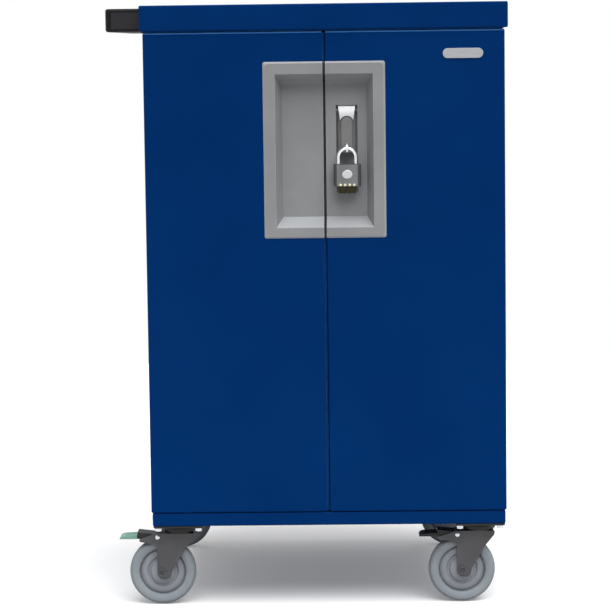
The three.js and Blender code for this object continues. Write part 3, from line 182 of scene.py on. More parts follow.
bm = bmesh.new()
bmesh.ops.create_grid(bm, x_segments=1, y_segments=1, size=FLOOR_HALF)
floor = mesh_object("studio_floor", bm)
floor_paper = bpy.data.materials.new("floor_paper")
floor_paper.use_nodes = True
tree = floor_paper.node_tree
seen = seen_directly(tree)
shade = add_node(tree, "MapRange", {"Value": seen, "To Min": FLOOR_BOUNCE, "To Max": FLOOR_SHADE})
glow = add_node(tree, "Math", {0: seen, 1: FLOOR_GLOW}, operation="MULTIPLY")
set_inputs(tree, tree.nodes["Principled BSDF"], {
    "Base Color": shade.outputs["Result"],
    "Roughness": 1.0,
    "Specular IOR Level": 0.0,
    "Emission Color": WHITE,
    "Emission Strength": glow.outputs[0],
})
floor.data.materials.append(floor_paper)
print(f"floor {2 * FLOOR_HALF} m across")

# %% [markdown]
# ## Effects that several finishes share
# Powder coat, moulded plastic, rubber and cast metal all have a fine grain, slow changes of tone and
# edges of a slightly different tone, which is partly thin coat and partly a painted highlight or painted
# shade. Each effect could be drawn again in every material. Built once as a node group, it is placed where
# it is needed with its own scale.

# %% Make the grain group


def effect_group(name, inputs, outputs):
    """An empty shader group, the sockets that it is given and the node for its result."""
    group = bpy.data.node_groups.new(name, "ShaderNodeTree")
    for label, value in inputs.items():
        socket = group.interface.new_socket(label, in_out="INPUT", socket_type="NodeSocketFloat")
        socket.default_value = value
    for label in outputs:
        group.interface.new_socket(label, in_out="OUTPUT", socket_type="NodeSocketFloat")
    return group, group.nodes.new("NodeGroupInput").outputs, group.nodes.new("NodeGroupOutput")


grain_group, given, result = effect_group("surface_grain", {"Grain": 900.0, "Patch": 6.0}, ["Height", "Tone"])
place = add_node(grain_group, "TexCoord").outputs["Object"]
for label, out, detail in (("Grain", "Height", 3.0), ("Patch", "Tone", 4.0)):
    noise = add_node(grain_group, "TexNoise", {"Vector": place, "Scale": given[label], "Detail": detail})
    set_inputs(grain_group, result, {out: noise.outputs["Fac"]})
print("group surface_grain")

# %% [markdown]
# Drawn or turned metal has fine lines in one direction. An image could show them. A noise that is scaled
# differently along each axis gives such lines on any shape, without a map.

# %% Make the brushed group
brushed_group, given, result = effect_group(
    "brushed_lines", {"Across X": 40.0, "Across Y": 40.0, "Across Z": 1600.0}, ["Height", "Tone"])
place = add_node(brushed_group, "TexCoord").outputs["Object"]
stretch = add_node(brushed_group, "CombineXYZ", {axis: given[f"Across {axis}"] for axis in "XYZ"})
drawn = add_node(brushed_group, "VectorMath", {0: place, 1: stretch.outputs["Vector"]}, operation="MULTIPLY")
lines = add_node(brushed_group, "TexNoise", {"Vector": drawn.outputs["Vector"], "Scale": 1.0, "Detail": 2.0})
set_inputs(brushed_group, result, {"Height": lines.outputs["Fac"], "Tone": lines.outputs["Fac"]})
print("group brushed_lines")

# %% [markdown]
# A bevel node gives the normal that a rounded edge would have. Where it departs from the plain normal,
# the surface is near an edge, and a noise breaks that thin line up. The tone that a finish gives this line
# stands partly for thin coat and partly for a painted highlight or painted shade.

# %% Make the edge group
EDGE_SAMPLES = 4
EDGE_TURN = 0.75

# The mask carries painted highlights and painted shade along edges, as well as thin coat.
edge_group, given, result = effect_group("edge_wear_and_painted_light", {"Width": 0.002, "Patch": 60.0}, ["Mask"])
rounded = add_node(edge_group, "Bevel", {"Radius": given["Width"]}, samples=EDGE_SAMPLES)
plain = add_node(edge_group, "NewGeometry")
agree = add_node(edge_group, "VectorMath", {
    0: rounded.outputs["Normal"], 1: plain.outputs["Normal"]}, operation="DOT_PRODUCT")
span = add_node(edge_group, "MapRange", {
    "Value": agree.outputs["Value"], "From Min": 1.0, "From Max": EDGE_TURN})
place = add_node(edge_group, "TexCoord").outputs["Object"]
breaks = add_node(edge_group, "TexNoise", {"Vector": place, "Scale": given["Patch"]})
mask = add_node(edge_group, "Math", {
    0: span.outputs["Result"], 1: breaks.outputs["Fac"]}, operation="MULTIPLY")
set_inputs(edge_group, result, {"Mask": mask.outputs[0]})
print("group edge_wear_and_painted_light")

# %% [markdown]
# ## A recipe for one finish
# A finish mixes two close tones by the slow noise, tints the thin edges, partly with painted light, varies
# the gloss with the grain and bumps the surface by it. Colours are written as they are read off a screen,
# from 0 to 255, and the bump and the width of the edge in millimetres.

# %% Write the recipe
NOISE_LOW = 0.3
NOISE_HIGH = 0.7
MIX_FACTOR, MIX_FIRST, MIX_SECOND = 0, 6, 7
MIX_COLOUR = 2
finishes = {}


def screen_colour(red, green, blue):
    """A colour written from 0 to 255 as the linear colour that a shader takes."""
    shares = [value / 255 for value in (red, green, blue)]
    return [s / 12.92 if s <= 0.04045 else ((s + 0.055) / 1.055) ** 2.4 for s in shares] + [1.0]


def mixed(tree, factor, first, second):
    """A colour mix whose inputs are sockets or plain colours."""
    mix = add_node(tree, "Mix", data_type="RGBA")
    set_inputs(tree, mix, {MIX_FACTOR: factor, MIX_FIRST: first, MIX_SECOND: second})
    return mix.outputs[MIX_COLOUR]


def spread_of(tree, noise, low, high):
    """The middle range of a noise, stretched from low to high."""
    span = add_node(tree, "MapRange", {
        "Value": noise, "From Min": NOISE_LOW, "From Max": NOISE_HIGH, "To Min": low, "To Max": high})
    return span.outputs["Result"]


def grained(grain, patch):
    """An even grain, with slow patches of tone."""
    return grain_group, {"Grain": grain, "Patch": patch}


def brushed(along, across):
    """Level lines, drawn out along x and y and close together along z."""
    return brushed_group, {"Across X": along, "Across Y": along, "Across Z": across}


def finish(slot, tones, edge, pattern, gloss=(0.4, 0.55), bump=0.03, metal=0.0, specular=0.5, edge_width=1.5):
    """A material for one slot: two tones, an edge tone, a pattern and a roughness range."""
    material = bpy.data.materials.new(slot)
    material.use_nodes = True
    tree = material.node_tree
    group, scales = pattern
    surface = add_node(tree, "Group", scales, node_tree=group)
    # The edge tone is partly thin coat and partly a painted highlight or painted shade.
    thin = add_node(tree, "Group", {"Width": edge_width * MM}, node_tree=edge_group)
    tone = spread_of(tree, surface.outputs["Tone"], 0.0, 1.0)
    body = mixed(tree, tone, screen_colour(*tones[0]), screen_colour(*tones[1]))
    relief = add_node(tree, "Bump", {"Distance": bump * MM, "Height": surface.outputs["Height"]})
    set_inputs(tree, tree.nodes["Principled BSDF"], {
        "Metallic": metal,
        "Specular IOR Level": specular,
        "Base Color": mixed(tree, thin.outputs["Mask"], body, screen_colour(*edge)),
        "Roughness": spread_of(tree, surface.outputs["Height"], *gloss),
        "Normal": relief.outputs["Normal"],
    })
    finishes[slot] = material


# %% [markdown]
# ## Paints and coatings
# The cabinet has a satin powder coat: a dark blue with a faint orange peel and hardly any shine seen from
# the front. Its edges are tinted a much lighter blue, a painted highlight. The folds along the doors' upper
# edges shine on the real cart. This studio doesn't light them so, and a lighter blue stands in for it as a
# painted highlight. The racks and the control box are a light grey of the same kind, and the caster forks
# a dark grey.

# %% Mix the paints
blue_coat = {"pattern": grained(700, 5), "gloss": (0.42, 0.55), "specular": 0.02}
# The much lighter blue edge tone is a painted highlight along the edges.
finish("blue_powder_coat", [(0, 44, 99), (2, 48, 105)], (70, 130, 205), **blue_coat)
# The lighter blue of the upper folds is a painted highlight.
finish("blue_fold_highlight", [(56, 108, 172), (62, 114, 178)], (84, 136, 200), **blue_coat)
finish("rack_coating", [(150, 155, 162), (158, 163, 170)], (180, 184, 190), grained(700, 6))
finish("grey_paint", [(146, 150, 155), (154, 158, 163)], (178, 182, 186), grained(600, 8), gloss=(0.4, 0.5))
finish("fork_paint", [(70, 70, 72), (79, 79, 81)], (118, 118, 121), grained(500, 30),
       bump=0.04, metal=0.2, specular=0.4)
finish("black_steel", [(24, 24, 25), (32, 32, 33)], (58, 58, 60), grained(600, 20), specular=0.3)
print(f"paints: {sorted(finishes)}")

# %% [markdown]
# ## Plastics and rubber
# Moulded plastic has a fine etched grain. The cup is a silver grey, with near white edges that are a
# painted highlight. Its rim and its lower wall are a tone lighter, a painted highlight that stands in for
# light that this studio lacks. The handle and the power strips are black, the handle's end panels a tone
# lighter, and the handle's rounded edges and the rims of its panels darker, as painted shade. One pedal pad
# is soft green. The tyres are grey rubber that does not mark floors.

# %% Mix the plastics
cup_moulding = {"pattern": grained(1300, 12), "gloss": (0.42, 0.55), "specular": 0.2}
# The near white edge tone is a painted highlight along the cup's edges.
finish("silver_plastic", [(137, 138, 140), (145, 146, 148)], (236, 242, 252), **cup_moulding)
# The lighter tone of the rim and the lower wall is a painted highlight.
finish("rim_and_sill_highlight", [(152, 154, 157), (160, 162, 165)], (205, 212, 222), **cup_moulding)
black_moulding = {"pattern": grained(1100, 20), "bump": 0.05}
finish("black_plastic", [(26, 26, 28), (36, 36, 39)], (66, 66, 70), specular=0.3, **black_moulding)
# The dark edge tone, wide enough to cover the rounded edges, is painted shade.
finish("handle_plastic", [(12, 12, 13), (18, 18, 19)], (6, 6, 7), specular=0.15, edge_width=6,
       **black_moulding)
# The dark edge tone round the panels is painted shade in their sunk rims.
finish("handle_panel", [(36, 35, 39), (45, 44, 48)], (16, 16, 17), specular=0.2, **black_moulding)
finish("green_plastic", [(114, 154, 140), (125, 163, 150)], (160, 195, 184), grained(900, 40),
       gloss=(0.4, 0.5), specular=0.3)
finish("hub_plastic", [(136, 139, 147), (146, 149, 156)], (160, 164, 171), grained(800, 30),
       gloss=(0.45, 0.6), bump=0.04, specular=0.3)
finish("grey_rubber", [(138, 145, 152), (148, 154, 160)], (166, 172, 178), grained(600, 25),
       gloss=(0.65, 0.85), bump=0.06, specular=0.2)
print(f"plastics made, {len(finishes)} finishes so far")

# %% [markdown]
# ## Bare and cast metals
# Bolts, rivets and rods are zinc plated, the shackle is polished, the lock casing and the lever are satin
# castings, and the number wheels are brass. Brushed lines suit what was drawn or turned.

# %% Mix the metals
cast = {"metal": 0.2, "specular": 0.2}
finish("zinc_steel", [(196, 199, 203), (214, 217, 220)], (236, 238, 240), brushed(60, 1800),
       gloss=(0.25, 0.4), bump=0.01, metal=0.9)
finish("satin_zinc", [(162, 164, 168), (176, 178, 182)], (214, 216, 220), brushed(40, 1500),
       gloss=(0.4, 0.5), bump=0.01, metal=0.3, specular=0.3)
# The light tone suits the lock's disc. On the lever's scoop it is partly a painted highlight.
finish("bright_disc_and_scoop_highlight", [(196, 197, 199), (208, 209, 210)], (220, 220, 222), grained(700, 30),
       gloss=(0.3, 0.4), bump=0.01, metal=0.2, specular=0.3)
finish("chrome", [(222, 223, 224), (232, 233, 234)], (244, 244, 244), grained(500, 30),
       gloss=(0.08, 0.16), bump=0.004, metal=1.0)
finish("lock_casing", [(112, 113, 114), (124, 125, 126)], (146, 147, 148), grained(900, 40),
       gloss=(0.35, 0.5), bump=0.04, **cast)
# A darker copy of the casting: painted shade on the lock's sides and in the lever's groove.
finish("painted_shade_casing", [(66, 67, 68), (74, 75, 76)], (92, 93, 94), grained(900, 40),
       gloss=(0.4, 0.5), bump=0.04, **cast)
# The wheels' brass is darkened as painted shade below the lock, and its bright edge tone is a painted glint.
finish("dial_brass", [(26, 24, 16), (38, 35, 22)], (150, 136, 90), grained(900, 120),
       gloss=(0.25, 0.4), bump=0.02, metal=0.5, specular=0.2, edge_width=0.9)
# Bright brass for the marks over the number wheels, a painted glint.
finish("painted_brass_glint", [(228, 216, 172), (238, 227, 186)], (246, 238, 206), grained(700, 30),
       gloss=(0.25, 0.4), bump=0.01, metal=0.3, specular=0.3)
finish("latch_metal", [(116, 116, 117), (126, 126, 127)], (148, 148, 150), grained(900, 30),
       gloss=(0.35, 0.5), **cast)
print(f"{len(finishes)} finishes in all")

# %% [markdown]
# ## Helpers for shapes
# Each helper starts a shape with an operator or a few corners and returns it as a bmesh, still open to
# more operators. Several shapes can be joined into one piece, which then rides on the body of the node
# that it stands for. No real edge is quite sharp, so a few small radii serve for all the edges that are
# only broken.

# %% Start, round and join shapes
WELD = 1e-7
CLOSE = 1e-6
FACING = 0.9
FINE_EDGE = 0.4 * MM
THIN_EDGE = 0.5 * MM
SMALL_EDGE = 0.6 * MM
SOFT_EDGE = 0.8 * MM
ROUND_EDGE = 1.2 * MM
AXES = {"X": Vector((1, 0, 0)), "Y": Vector((0, 1, 0)), "Z": Vector((0, 0, 1))}
FRONT = -AXES["Y"]
BACK = AXES["Y"]
UP = AXES["Z"]
DOWN = -AXES["Z"]


def box_shape(low, high):
    bm = bmesh.new()
    bmesh.ops.create_cube(bm, size=1.0)
    bmesh.ops.scale(bm, vec=Vector(high) - Vector(low), verts=bm.verts)
    bmesh.ops.translate(bm, vec=(Vector(low) + Vector(high)) / 2, verts=bm.verts)
    return bm


def round_off(bm, geom, radius, segments=3, affect="EDGES"):
    bmesh.ops.bevel(bm, geom=geom, offset=radius, offset_type="OFFSET", affect=affect,
                    segments=segments, profile=0.5, material=-1, clamp_overlap=True)


def sharp_edges(bm, degrees=25):
    limit = math.radians(degrees)
    return [edge for edge in bm.edges if edge.is_manifold and edge.calc_face_angle() > limit]


def soften(bm, radius, segments=2, degrees=25):
    """Rounds every edge that is sharper than the given angle."""
    round_off(bm, sharp_edges(bm, degrees), radius, segments)
    return bm


def rounded_box(low, high, radius, segments=3):
    return soften(box_shape(low, high), radius, segments)


def join(first, *others):
    """Several shapes as one."""
    for other in others:
        carrier = bpy.data.meshes.new("carrier")
        other.to_mesh(carrier)
        other.free()
        first.from_mesh(carrier)
        bpy.data.meshes.remove(carrier)
    return first


def widest_face(bm, direction):
    return max(bm.faces, key=lambda face: face.normal.dot(direction) * face.calc_area())


# %% [markdown]
# Extruding makes new geometry in place, which then has to be moved. These helpers do both in one step.
# The old faces stay where they close a solid, and go where they would lie inside a shell.

# %% Pull faces and edges


def verts_of(geometry):
    return [item for item in geometry if isinstance(item, bmesh.types.BMVert)]


def faces_of(geometry):
    return [item for item in geometry if isinstance(item, bmesh.types.BMFace)]


def extruded(bm, faces, vec):
    """Extrudes faces by a step and returns the new ones. The old ones stay as the other end."""
    made = bmesh.ops.extrude_face_region(bm, geom=faces)["geom"]
    bmesh.ops.translate(bm, vec=vec, verts=verts_of(made))
    return faces_of(made)


def pulled(bm, faces, vec):
    """Extrudes faces of a shell by a step, without leaving the old ones inside it."""
    ends = extruded(bm, faces, vec)
    bmesh.ops.delete(bm, geom=faces, context="FACES_ONLY")
    return ends


def drawn_out(bm, edges, vec):
    """Extrudes edges by a step into a strip of sheet."""
    made = bmesh.ops.extrude_edge_only(bm, edges=edges)["geom"]
    bmesh.ops.translate(bm, vec=vec, verts=verts_of(made))


# %% [markdown]
# Flat parts are drawn as an outline with a radius for each corner and given a thickness. Round parts are
# spun from half of their section. Both are closer to how a maker draws them than a list of faces would
# be.

# %% Draw outlines and turn profiles


def in_space(axis, u, v, w):
    """A point u, v of a drawing plane at w along the axis that stands on it."""
    return Vector({"X": (w, u, v), "Y": (u, w, v), "Z": (u, v, w)}[axis])


def rectangle(u_low, v_low, u_high, v_high, radius):
    """The outline of a rectangle with equal corners."""
    corners = [(u_low, v_low), (u_high, v_low), (u_high, v_high), (u_low, v_high)]
    return [(u, v, radius) for u, v in corners]


def round_caps(bm, axis, radius, segments):
    """Rounds the rims of the faces that stand across an axis."""
    caps = [face for face in bm.faces if abs(face.normal.dot(AXES[axis])) > FACING]
    round_off(bm, list({rim for face in caps for rim in face.edges}), radius, segments)


def plate(axis, corners, start, end, edge=0.0, arc_segments=6, edge_segments=2):
    """A flat outline with rounded corners (u, v, radius), given a thickness along one axis."""
    bm = bmesh.new()
    verts = [bm.verts.new(in_space(axis, u, v, start)) for u, v, _ in corners]
    bm.faces.new(verts)
    turns = []
    for index, vert in enumerate(verts):
        before = verts[index - 1].co - vert.co
        after = verts[(index + 1) % len(verts)].co - vert.co
        turns.append(math.tan(before.angle(after) / 2))
    for vert, (_, _, radius), half_turn in zip(verts, corners, turns):
        if radius > 0:
            round_off(bm, [vert], radius / half_turn, arc_segments, affect="VERTICES")
    extruded(bm, bm.faces[:], AXES[axis] * (end - start))
    bmesh.ops.recalc_face_normals(bm, faces=bm.faces)
    if edge > 0:
        round_caps(bm, axis, edge, edge_segments)
    return bm


def bar_profile(radius, start, end):
    """The profile of a solid round bar."""
    return [(0, start), (radius, start), (radius, end), (0, end)]


def spun(axis, centre, profile, steps=64, closed=False, edge=0.0):
    """A turned shape from its profile of (radius, distance along the axis)."""
    bm = bmesh.new()
    centre = Vector(centre)
    outward = AXES["Y"] if axis == "X" else AXES["X"]
    verts = [bm.verts.new(centre + outward * radius + AXES[axis] * along) for radius, along in profile]
    pairs = list(zip(verts, verts[1:])) + ([(verts[-1], verts[0])] if closed else [])
    edges = [bm.edges.new(pair) for pair in pairs]
    bmesh.ops.spin(bm, geom=verts + edges, cent=centre, axis=AXES[axis], angle=2 * math.pi,
                   steps=steps, use_merge=True)
    bmesh.ops.remove_doubles(bm, verts=bm.verts, dist=CLOSE)
    bmesh.ops.recalc_face_normals(bm, faces=bm.faces)
    return soften(bm, edge) if edge > 0 else bm


# %% [markdown]
# Sheet metal is a thin surface first. It is folded and cut while it has no thickness, so that the
# solidify step at the end closes every cut edge as well.

# %% Fold sheet and cut it
SHEET = 1.5 * MM
BEND = 3.0 * MM


def folded_pan(low, high, opening, lip):
    """A sheet box, open on one side, with rounded folds and a lip turned in round the opening."""
    bm = box_shape(low, high)
    round_off(bm, bm.edges[:], BEND)
    mouth = widest_face(bm, opening)
    bmesh.ops.inset_region(bm, faces=[mouth], thickness=lip - BEND)
    bmesh.ops.delete(bm, geom=[mouth], context="FACES")
    return bm


def inside(point, low, high):
    return all(low[i] < point[i] < high[i] for i in range(3))


def cut_through(bm, point, normal, clear_outer=False):
    """Cuts the whole shape along a plane, and clears what lies beyond it if asked to."""
    bmesh.ops.bisect_plane(bm, geom=bm.verts[:] + bm.edges[:] + bm.faces[:], plane_co=point,
                           plane_no=normal, clear_outer=clear_outer, dist=WELD)


def cut_window(bm, low, high):
    """Cuts an open sheet along the sides of a box and takes out what lies inside it."""
    for i, side in enumerate(AXES.values()):
        for bound in (low[i], high[i]):
            cut_through(bm, side * bound, side)
    gone = [face for face in bm.faces if inside(face.calc_center_median(), low, high)]
    bmesh.ops.delete(bm, geom=gone, context="FACES")


def thicken(bm, thickness=SHEET):
    """Gives an open sheet its thickness, inwards from the faces."""
    bmesh.ops.solidify(bm, geom=bm.faces[:], thickness=thickness)
    return bm


def sink_window(bm, face, low, high, depth):
    """Cuts a rectangle into one flat face, pushes it in and returns its floor."""
    normal = face.normal.copy()
    target = (Vector(low) + Vector(high)) / 2
    cell = face
    for i, side in enumerate(AXES.values()):
        if abs(normal[i]) > FACING:
            continue
        for bound in (low[i], high[i]):
            cut = bmesh.ops.bisect_plane(bm, geom=[cell, *cell.edges, *cell.verts], plane_co=side * bound,
                                         plane_no=side, dist=WELD)
            cell = next(c for c in faces_of(cut["geom"])
                        if (c.calc_center_bounds()[i] - bound) * (target[i] - bound) > 0)
    return pulled(bm, [cell], -normal * depth)[0]


# %% [markdown]
# A finished shape becomes an object with a finish. Gentle edges are shaded smooth and sharp ones stay
# crisp. The piece rides on a body of the frame and replaces the node that it stands for.
# Faces that a shape has marked take a second finish.

# %% Show a finished piece
SHARP = math.radians(32)
MARKED = 1


def show(name, bm, slot, *stands_for, body=None, look=None, edge_look=None):
    """Makes a piece of the shape, with a finish, on the body of the nodes that it stands for."""
    bmesh.ops.remove_doubles(bm, verts=bm.verts, dist=WELD)
    for face in bm.faces:
        face.smooth = True
    for edge in bm.edges:
        edge.smooth = edge.is_manifold and edge.calc_face_angle() < SHARP
    piece = mesh_object(name, bm)
    piece.data.materials.append(finishes[look or slot])
    if edge_look:
        piece.data.materials.append(finishes[edge_look])
    even = piece.modifiers.new("even_shading", "WEIGHTED_NORMAL")
    even.keep_sharp = True
    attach(piece, body or owner[stands_for[0]])
    if stands_for:
        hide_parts(*stands_for)
    print(f"{name}: {len(piece.data.polygons)} faces")


# %% [markdown]
# ## The cabinet's sheets
# The top is a deep tray turned upside down, and the base is a shallow tray with a stud for the rear door.
# Both are folded from one sheet, so their edges are soft bends and not sharp corners. A box with every
# edge rounded and its open side inset for the lip has that form, and solidify gives it the thickness of
# the sheet.

# %% Fold the top and the base
BASE_HEIGHT = 25.5 * MM
TOP_LIP = 20 * MM
BASE_LIP = 30 * MM
STUD_RADIUS = 4 * MM
STUD_INSET = 10 * MM
STUD_INSET_Y = 11 * MM
COLLAR_RADIUS = 6.5 * MM
COLLAR_HEIGHT = 2.7 * MM

show("folded_top", thicken(folded_pan(top_low, top_high, DOWN, TOP_LIP)), "blue_powder_coat", "top_panel")

base_low, base_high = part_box("base_tray")
stud_top = base_high.z
base_high.z = base_low.z + BASE_HEIGHT
_, rear_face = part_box("rear_door")
stud_foot = Vector((rear_face.x - STUD_INSET, rear_face.y - STUD_INSET_Y, 0))
stud = spun("Z", stud_foot, [
    (0, base_high.z - SHEET), (COLLAR_RADIUS, base_high.z - SHEET),
    (COLLAR_RADIUS, base_high.z + COLLAR_HEIGHT), (STUD_RADIUS, base_high.z + COLLAR_HEIGHT),
    (STUD_RADIUS, stud_top), (0, stud_top),
], steps=32)
base_sheet = thicken(folded_pan(base_low, base_high, UP, BASE_LIP))
show("folded_base", join(base_sheet, stud), "blue_powder_coat", "base_tray")

# %% [markdown]
# The side panels are channels: a flat wall with a flange turned in at the front and the back. A bent line
# drawn upwards gives the channel, and its two long edges are rounded before it gets its thickness. Its
# foot is sunk a little into the base, so that no light shows below it. The right wall is cut for the
# power inlet.

# %% Bend the sides
INLET_HOLE = Vector((0, 28.6, 22.6)) * MM
FOOT_SUNK = 1 * MM


def side_channel(node, outer_x, inner_x):
    low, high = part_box(node)
    low.z -= FOOT_SUNK
    bm = bmesh.new()
    plan = [(inner_x, low.y), (outer_x, low.y), (outer_x, high.y), (inner_x, high.y)]
    verts = [bm.verts.new((x, y, low.z)) for x, y in plan]
    bent_line = [bm.edges.new(pair) for pair in zip(verts, verts[1:])]
    drawn_out(bm, bent_line, (0, 0, high.z - low.z))
    round_off(bm, sharp_edges(bm), BEND)
    wall = max(bm.faces, key=lambda face: face.calc_area())
    if wall.normal.x * (outer_x - inner_x) < 0:
        bmesh.ops.reverse_faces(bm, faces=bm.faces)
    return bm


low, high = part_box("left_side_panel")
left_channel = side_channel("left_side_panel", low.x, high.x)
show("left_side", thicken(left_channel), "blue_powder_coat", "left_side_panel")

low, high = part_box("right_side_panel")
right_channel = side_channel("right_side_panel", high.x, low.x)
inlet_low, inlet_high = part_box("power_inlet")
inlet_centre = (inlet_low + inlet_high) / 2
hole_centre = Vector((high.x, inlet_centre.y, inlet_centre.z))
margin = Vector((2 * BEND, INLET_HOLE.y / 2, INLET_HOLE.z / 2))
cut_window(right_channel, hole_centre - margin, hole_centre + margin)
show("right_side", thicken(right_channel), "blue_powder_coat", "right_side_panel")

# %% [markdown]
# The shelf carries the upper rack. It is a flat sheet with its edges turned down, the same form as the
# top, so the same helper folds it.

# %% Fold the shelf
low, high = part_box("shelf")
shelf = folded_pan(low, high, DOWN, high.z - low.z)
show("folded_shelf", thicken(shelf), "blue_powder_coat", "shelf")

# %% [markdown]
# ## The front doors
# Each door is a shallow pan with its face to the front, cut away at the meeting edge for its half of the
# cup. The left door carries a strip that stands in the gap, and the right door two slotted brackets that
# guide the lock rods. The faces of the upper fold are marked for the lighter blue, a painted highlight.

# %% Fold and cut the doors
DOOR_LIP = 15 * MM
CUP_RIM_SIDE = 22.4 * MM
CUP_RIM_TOP = 22.8 * MM
CUP_RIM_BOTTOM = 19.6 * MM
CUP_WALL = 2 * MM
SEAT = 0.3 * MM
SEAM = 2.2 * MM
FOLD_LIT = 0.2

cup_low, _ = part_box("left_pull_cup")
_, cup_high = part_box("right_pull_cup")
mouth_low = Vector((cup_low.x + CUP_RIM_SIDE, 0, cup_low.z + CUP_RIM_BOTTOM))
mouth_high = Vector((cup_high.x - CUP_RIM_SIDE, 0, cup_high.z - CUP_RIM_TOP))
left_low, left_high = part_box("left_door")
right_low, right_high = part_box("right_door")
door_back = left_high.y
print(f"cup mouth {mouth_low} to {mouth_high}")


def door_pan(low, high):
    """A door with close seams above and below, cut for its half of the cup."""
    seam = Vector((0, 0, SEAM))
    bm = folded_pan(low - seam, Vector((high.x, door_back, high.z)) + seam, BACK, DOOR_LIP)
    grow = CUP_WALL + SEAT
    cut_low = Vector((mouth_low.x - grow, low.y - grow, mouth_low.z - grow))
    cut_high = Vector((mouth_high.x + grow, door_back + grow, mouth_high.z + grow))
    cut_window(bm, cut_low, cut_high)
    # The faces of the upper fold take the painted highlight.
    for face in bm.faces:
        if face.normal.z > FOLD_LIT and face.normal.y < -FOLD_LIT:
            face.material_index = MARKED
    return thicken(bm)


# %% [markdown]
# The strip is a thin bar with broken edges. A rod guide is a flat face that is cut for its rod and then
# given a thickness, as the doors are, so that the slot gets clean walls.

# %% Add the strip and the rod guides
MEETING_STRIP_DEPTH = 4 * MM
MEETING_STRIP_GAP = 1.2 * MM
GUIDE_SIZE = Vector((28, 0, 3)) * MM
GUIDE_INSET = 14 * MM
ROD_WIDTH = 16 * MM
ROD_THICKNESS = 3.5 * MM


def meeting_strip(low_z, high_z):
    """A strip on the left door that stands in the gap and shuts out the light."""
    low = Vector((left_high.x - DOOR_LIP / 2, left_low.y + MEETING_STRIP_DEPTH, low_z))
    high = Vector((right_low.x - MEETING_STRIP_GAP, door_back - SHEET, high_z))
    return rounded_box(low, high, THIN_EDGE, 1)


def rod_guide(rod, z):
    """A small plate on the door's lip with a slot round one rod."""
    rod_low, rod_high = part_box(rod)
    middle = Vector(((rod_low.x + rod_high.x) / 2, (rod_low.y + rod_high.y) / 2, z))
    left = middle.x - GUIDE_SIZE.x / 2
    right = middle.x + GUIDE_SIZE.x / 2
    plan = [(left, door_back), (right, door_back), (right, right_high.y), (left, right_high.y)]
    bm = bmesh.new()
    bm.faces.new([bm.verts.new((x, y, z + GUIDE_SIZE.z / 2)) for x, y in plan])
    slot = Vector((ROD_WIDTH / 2 + SEAT, ROD_THICKNESS / 2 + SEAT, GUIDE_SIZE.z))
    cut_window(bm, middle - slot, middle + slot)
    return thicken(bm, GUIDE_SIZE.z)


left_pan = join(
    door_pan(left_low, left_high),
    meeting_strip(left_low.z, mouth_low.z - CUP_WALL),
    meeting_strip(mouth_high.z + CUP_WALL, left_high.z),
)
show("left_door_pan", left_pan, "blue_powder_coat", "left_door", edge_look="blue_fold_highlight")
right_pan = join(
    door_pan(right_low, right_high),
    rod_guide("upper_lock_rod", right_high.z - GUIDE_INSET),
    rod_guide("lower_lock_rod", right_low.z + GUIDE_INSET),
)
show("right_door_pan", right_pan, "blue_powder_coat", "right_door", edge_look="blue_fold_highlight")

# %% [markdown]
# ## The pull cup
# The cup is one moulding in two halves. Five rectangles, from the back of the rim to the floor, are
# bridged into a stepped dish, which is rounded, cut at the gap between the doors and given a wall. The
# cut edge is turned back a little, so that a soft bright line runs along the gap as on the real moulding.
# The rim and the lower wall are marked for the lighter tone, a painted highlight.

# %% Mould the cup
CUP_DEPTH = 34 * MM
CUP_DRAFT_SIDE = 12.8 * MM
CUP_DRAFT_END = 18 * MM
CUP_CORNER = 4 * MM
CUP_EDGE = 1.0 * MM
CUP_RETURN = 1.8 * MM
CUP_RIM_SLOPE = 3.2 * MM
CUP_RIM_DROP = 1.6 * MM

door_face = left_low.y
cup_floor = door_face + CUP_DEPTH


def upright_ring(bm, low, high, y):
    """The four edges of an upright rectangle."""
    corners = [(low.x, low.z), (high.x, low.z), (high.x, high.z), (low.x, high.z)]
    verts = [bm.verts.new((x, y, z)) for x, z in corners]
    return [bm.edges.new((verts[i - 1], verts[i])) for i in range(4)]


def whole_cup():
    """The dish of both halves, before it is cut and has a wall."""
    bm = bmesh.new()
    draft = Vector((CUP_DRAFT_SIDE, 0, CUP_DRAFT_END))
    slope = Vector((CUP_RIM_SLOPE, 0, CUP_RIM_SLOPE))
    rings = [
        upright_ring(bm, cup_low, cup_high, door_face),
        upright_ring(bm, cup_low, cup_high, cup_low.y + CUP_RIM_DROP),
        upright_ring(bm, cup_low + slope, cup_high - slope, cup_low.y),
        upright_ring(bm, mouth_low, mouth_high, cup_low.y),
        upright_ring(bm, mouth_low + draft, mouth_high - draft, cup_floor),
    ]
    rim_side, rim_slope, _, walls = [
        bmesh.ops.bridge_loops(bm, edges=near + far)["faces"] for near, far in zip(rings, rings[1:])]
    sill = min(walls, key=lambda face: face.calc_center_median().z)
    # The rim and the lower wall take the painted highlight.
    for face in [*rim_side, *rim_slope, sill]:
        face.material_index = MARKED
    bmesh.ops.contextual_create(bm, geom=rings[-1])
    bmesh.ops.recalc_face_normals(bm, faces=bm.faces)
    if widest_face(bm, FRONT).normal.y > 0:
        bmesh.ops.reverse_faces(bm, faces=bm.faces)
    rim_corners = [e for e in bm.edges if max(v.co.y for v in e.verts) < door_face + SEAT
                   and abs(e.verts[0].co.y - e.verts[1].co.y) > SEAT]
    round_off(bm, rim_corners, CUP_CORNER, segments=5)
    soften(bm, CUP_EDGE, segments=3, degrees=30)
    bmesh.ops.dissolve_degenerate(bm, edges=bm.edges, dist=SEAT / 10)
    return bm


def keep_between(bm, start, end):
    """Cuts away all that lies left of one upright plane or right of another."""
    cut_through(bm, (start, 0, 0), (-1, 0, 0), clear_outer=True)
    cut_through(bm, (end, 0, 0), (1, 0, 0), clear_outer=True)


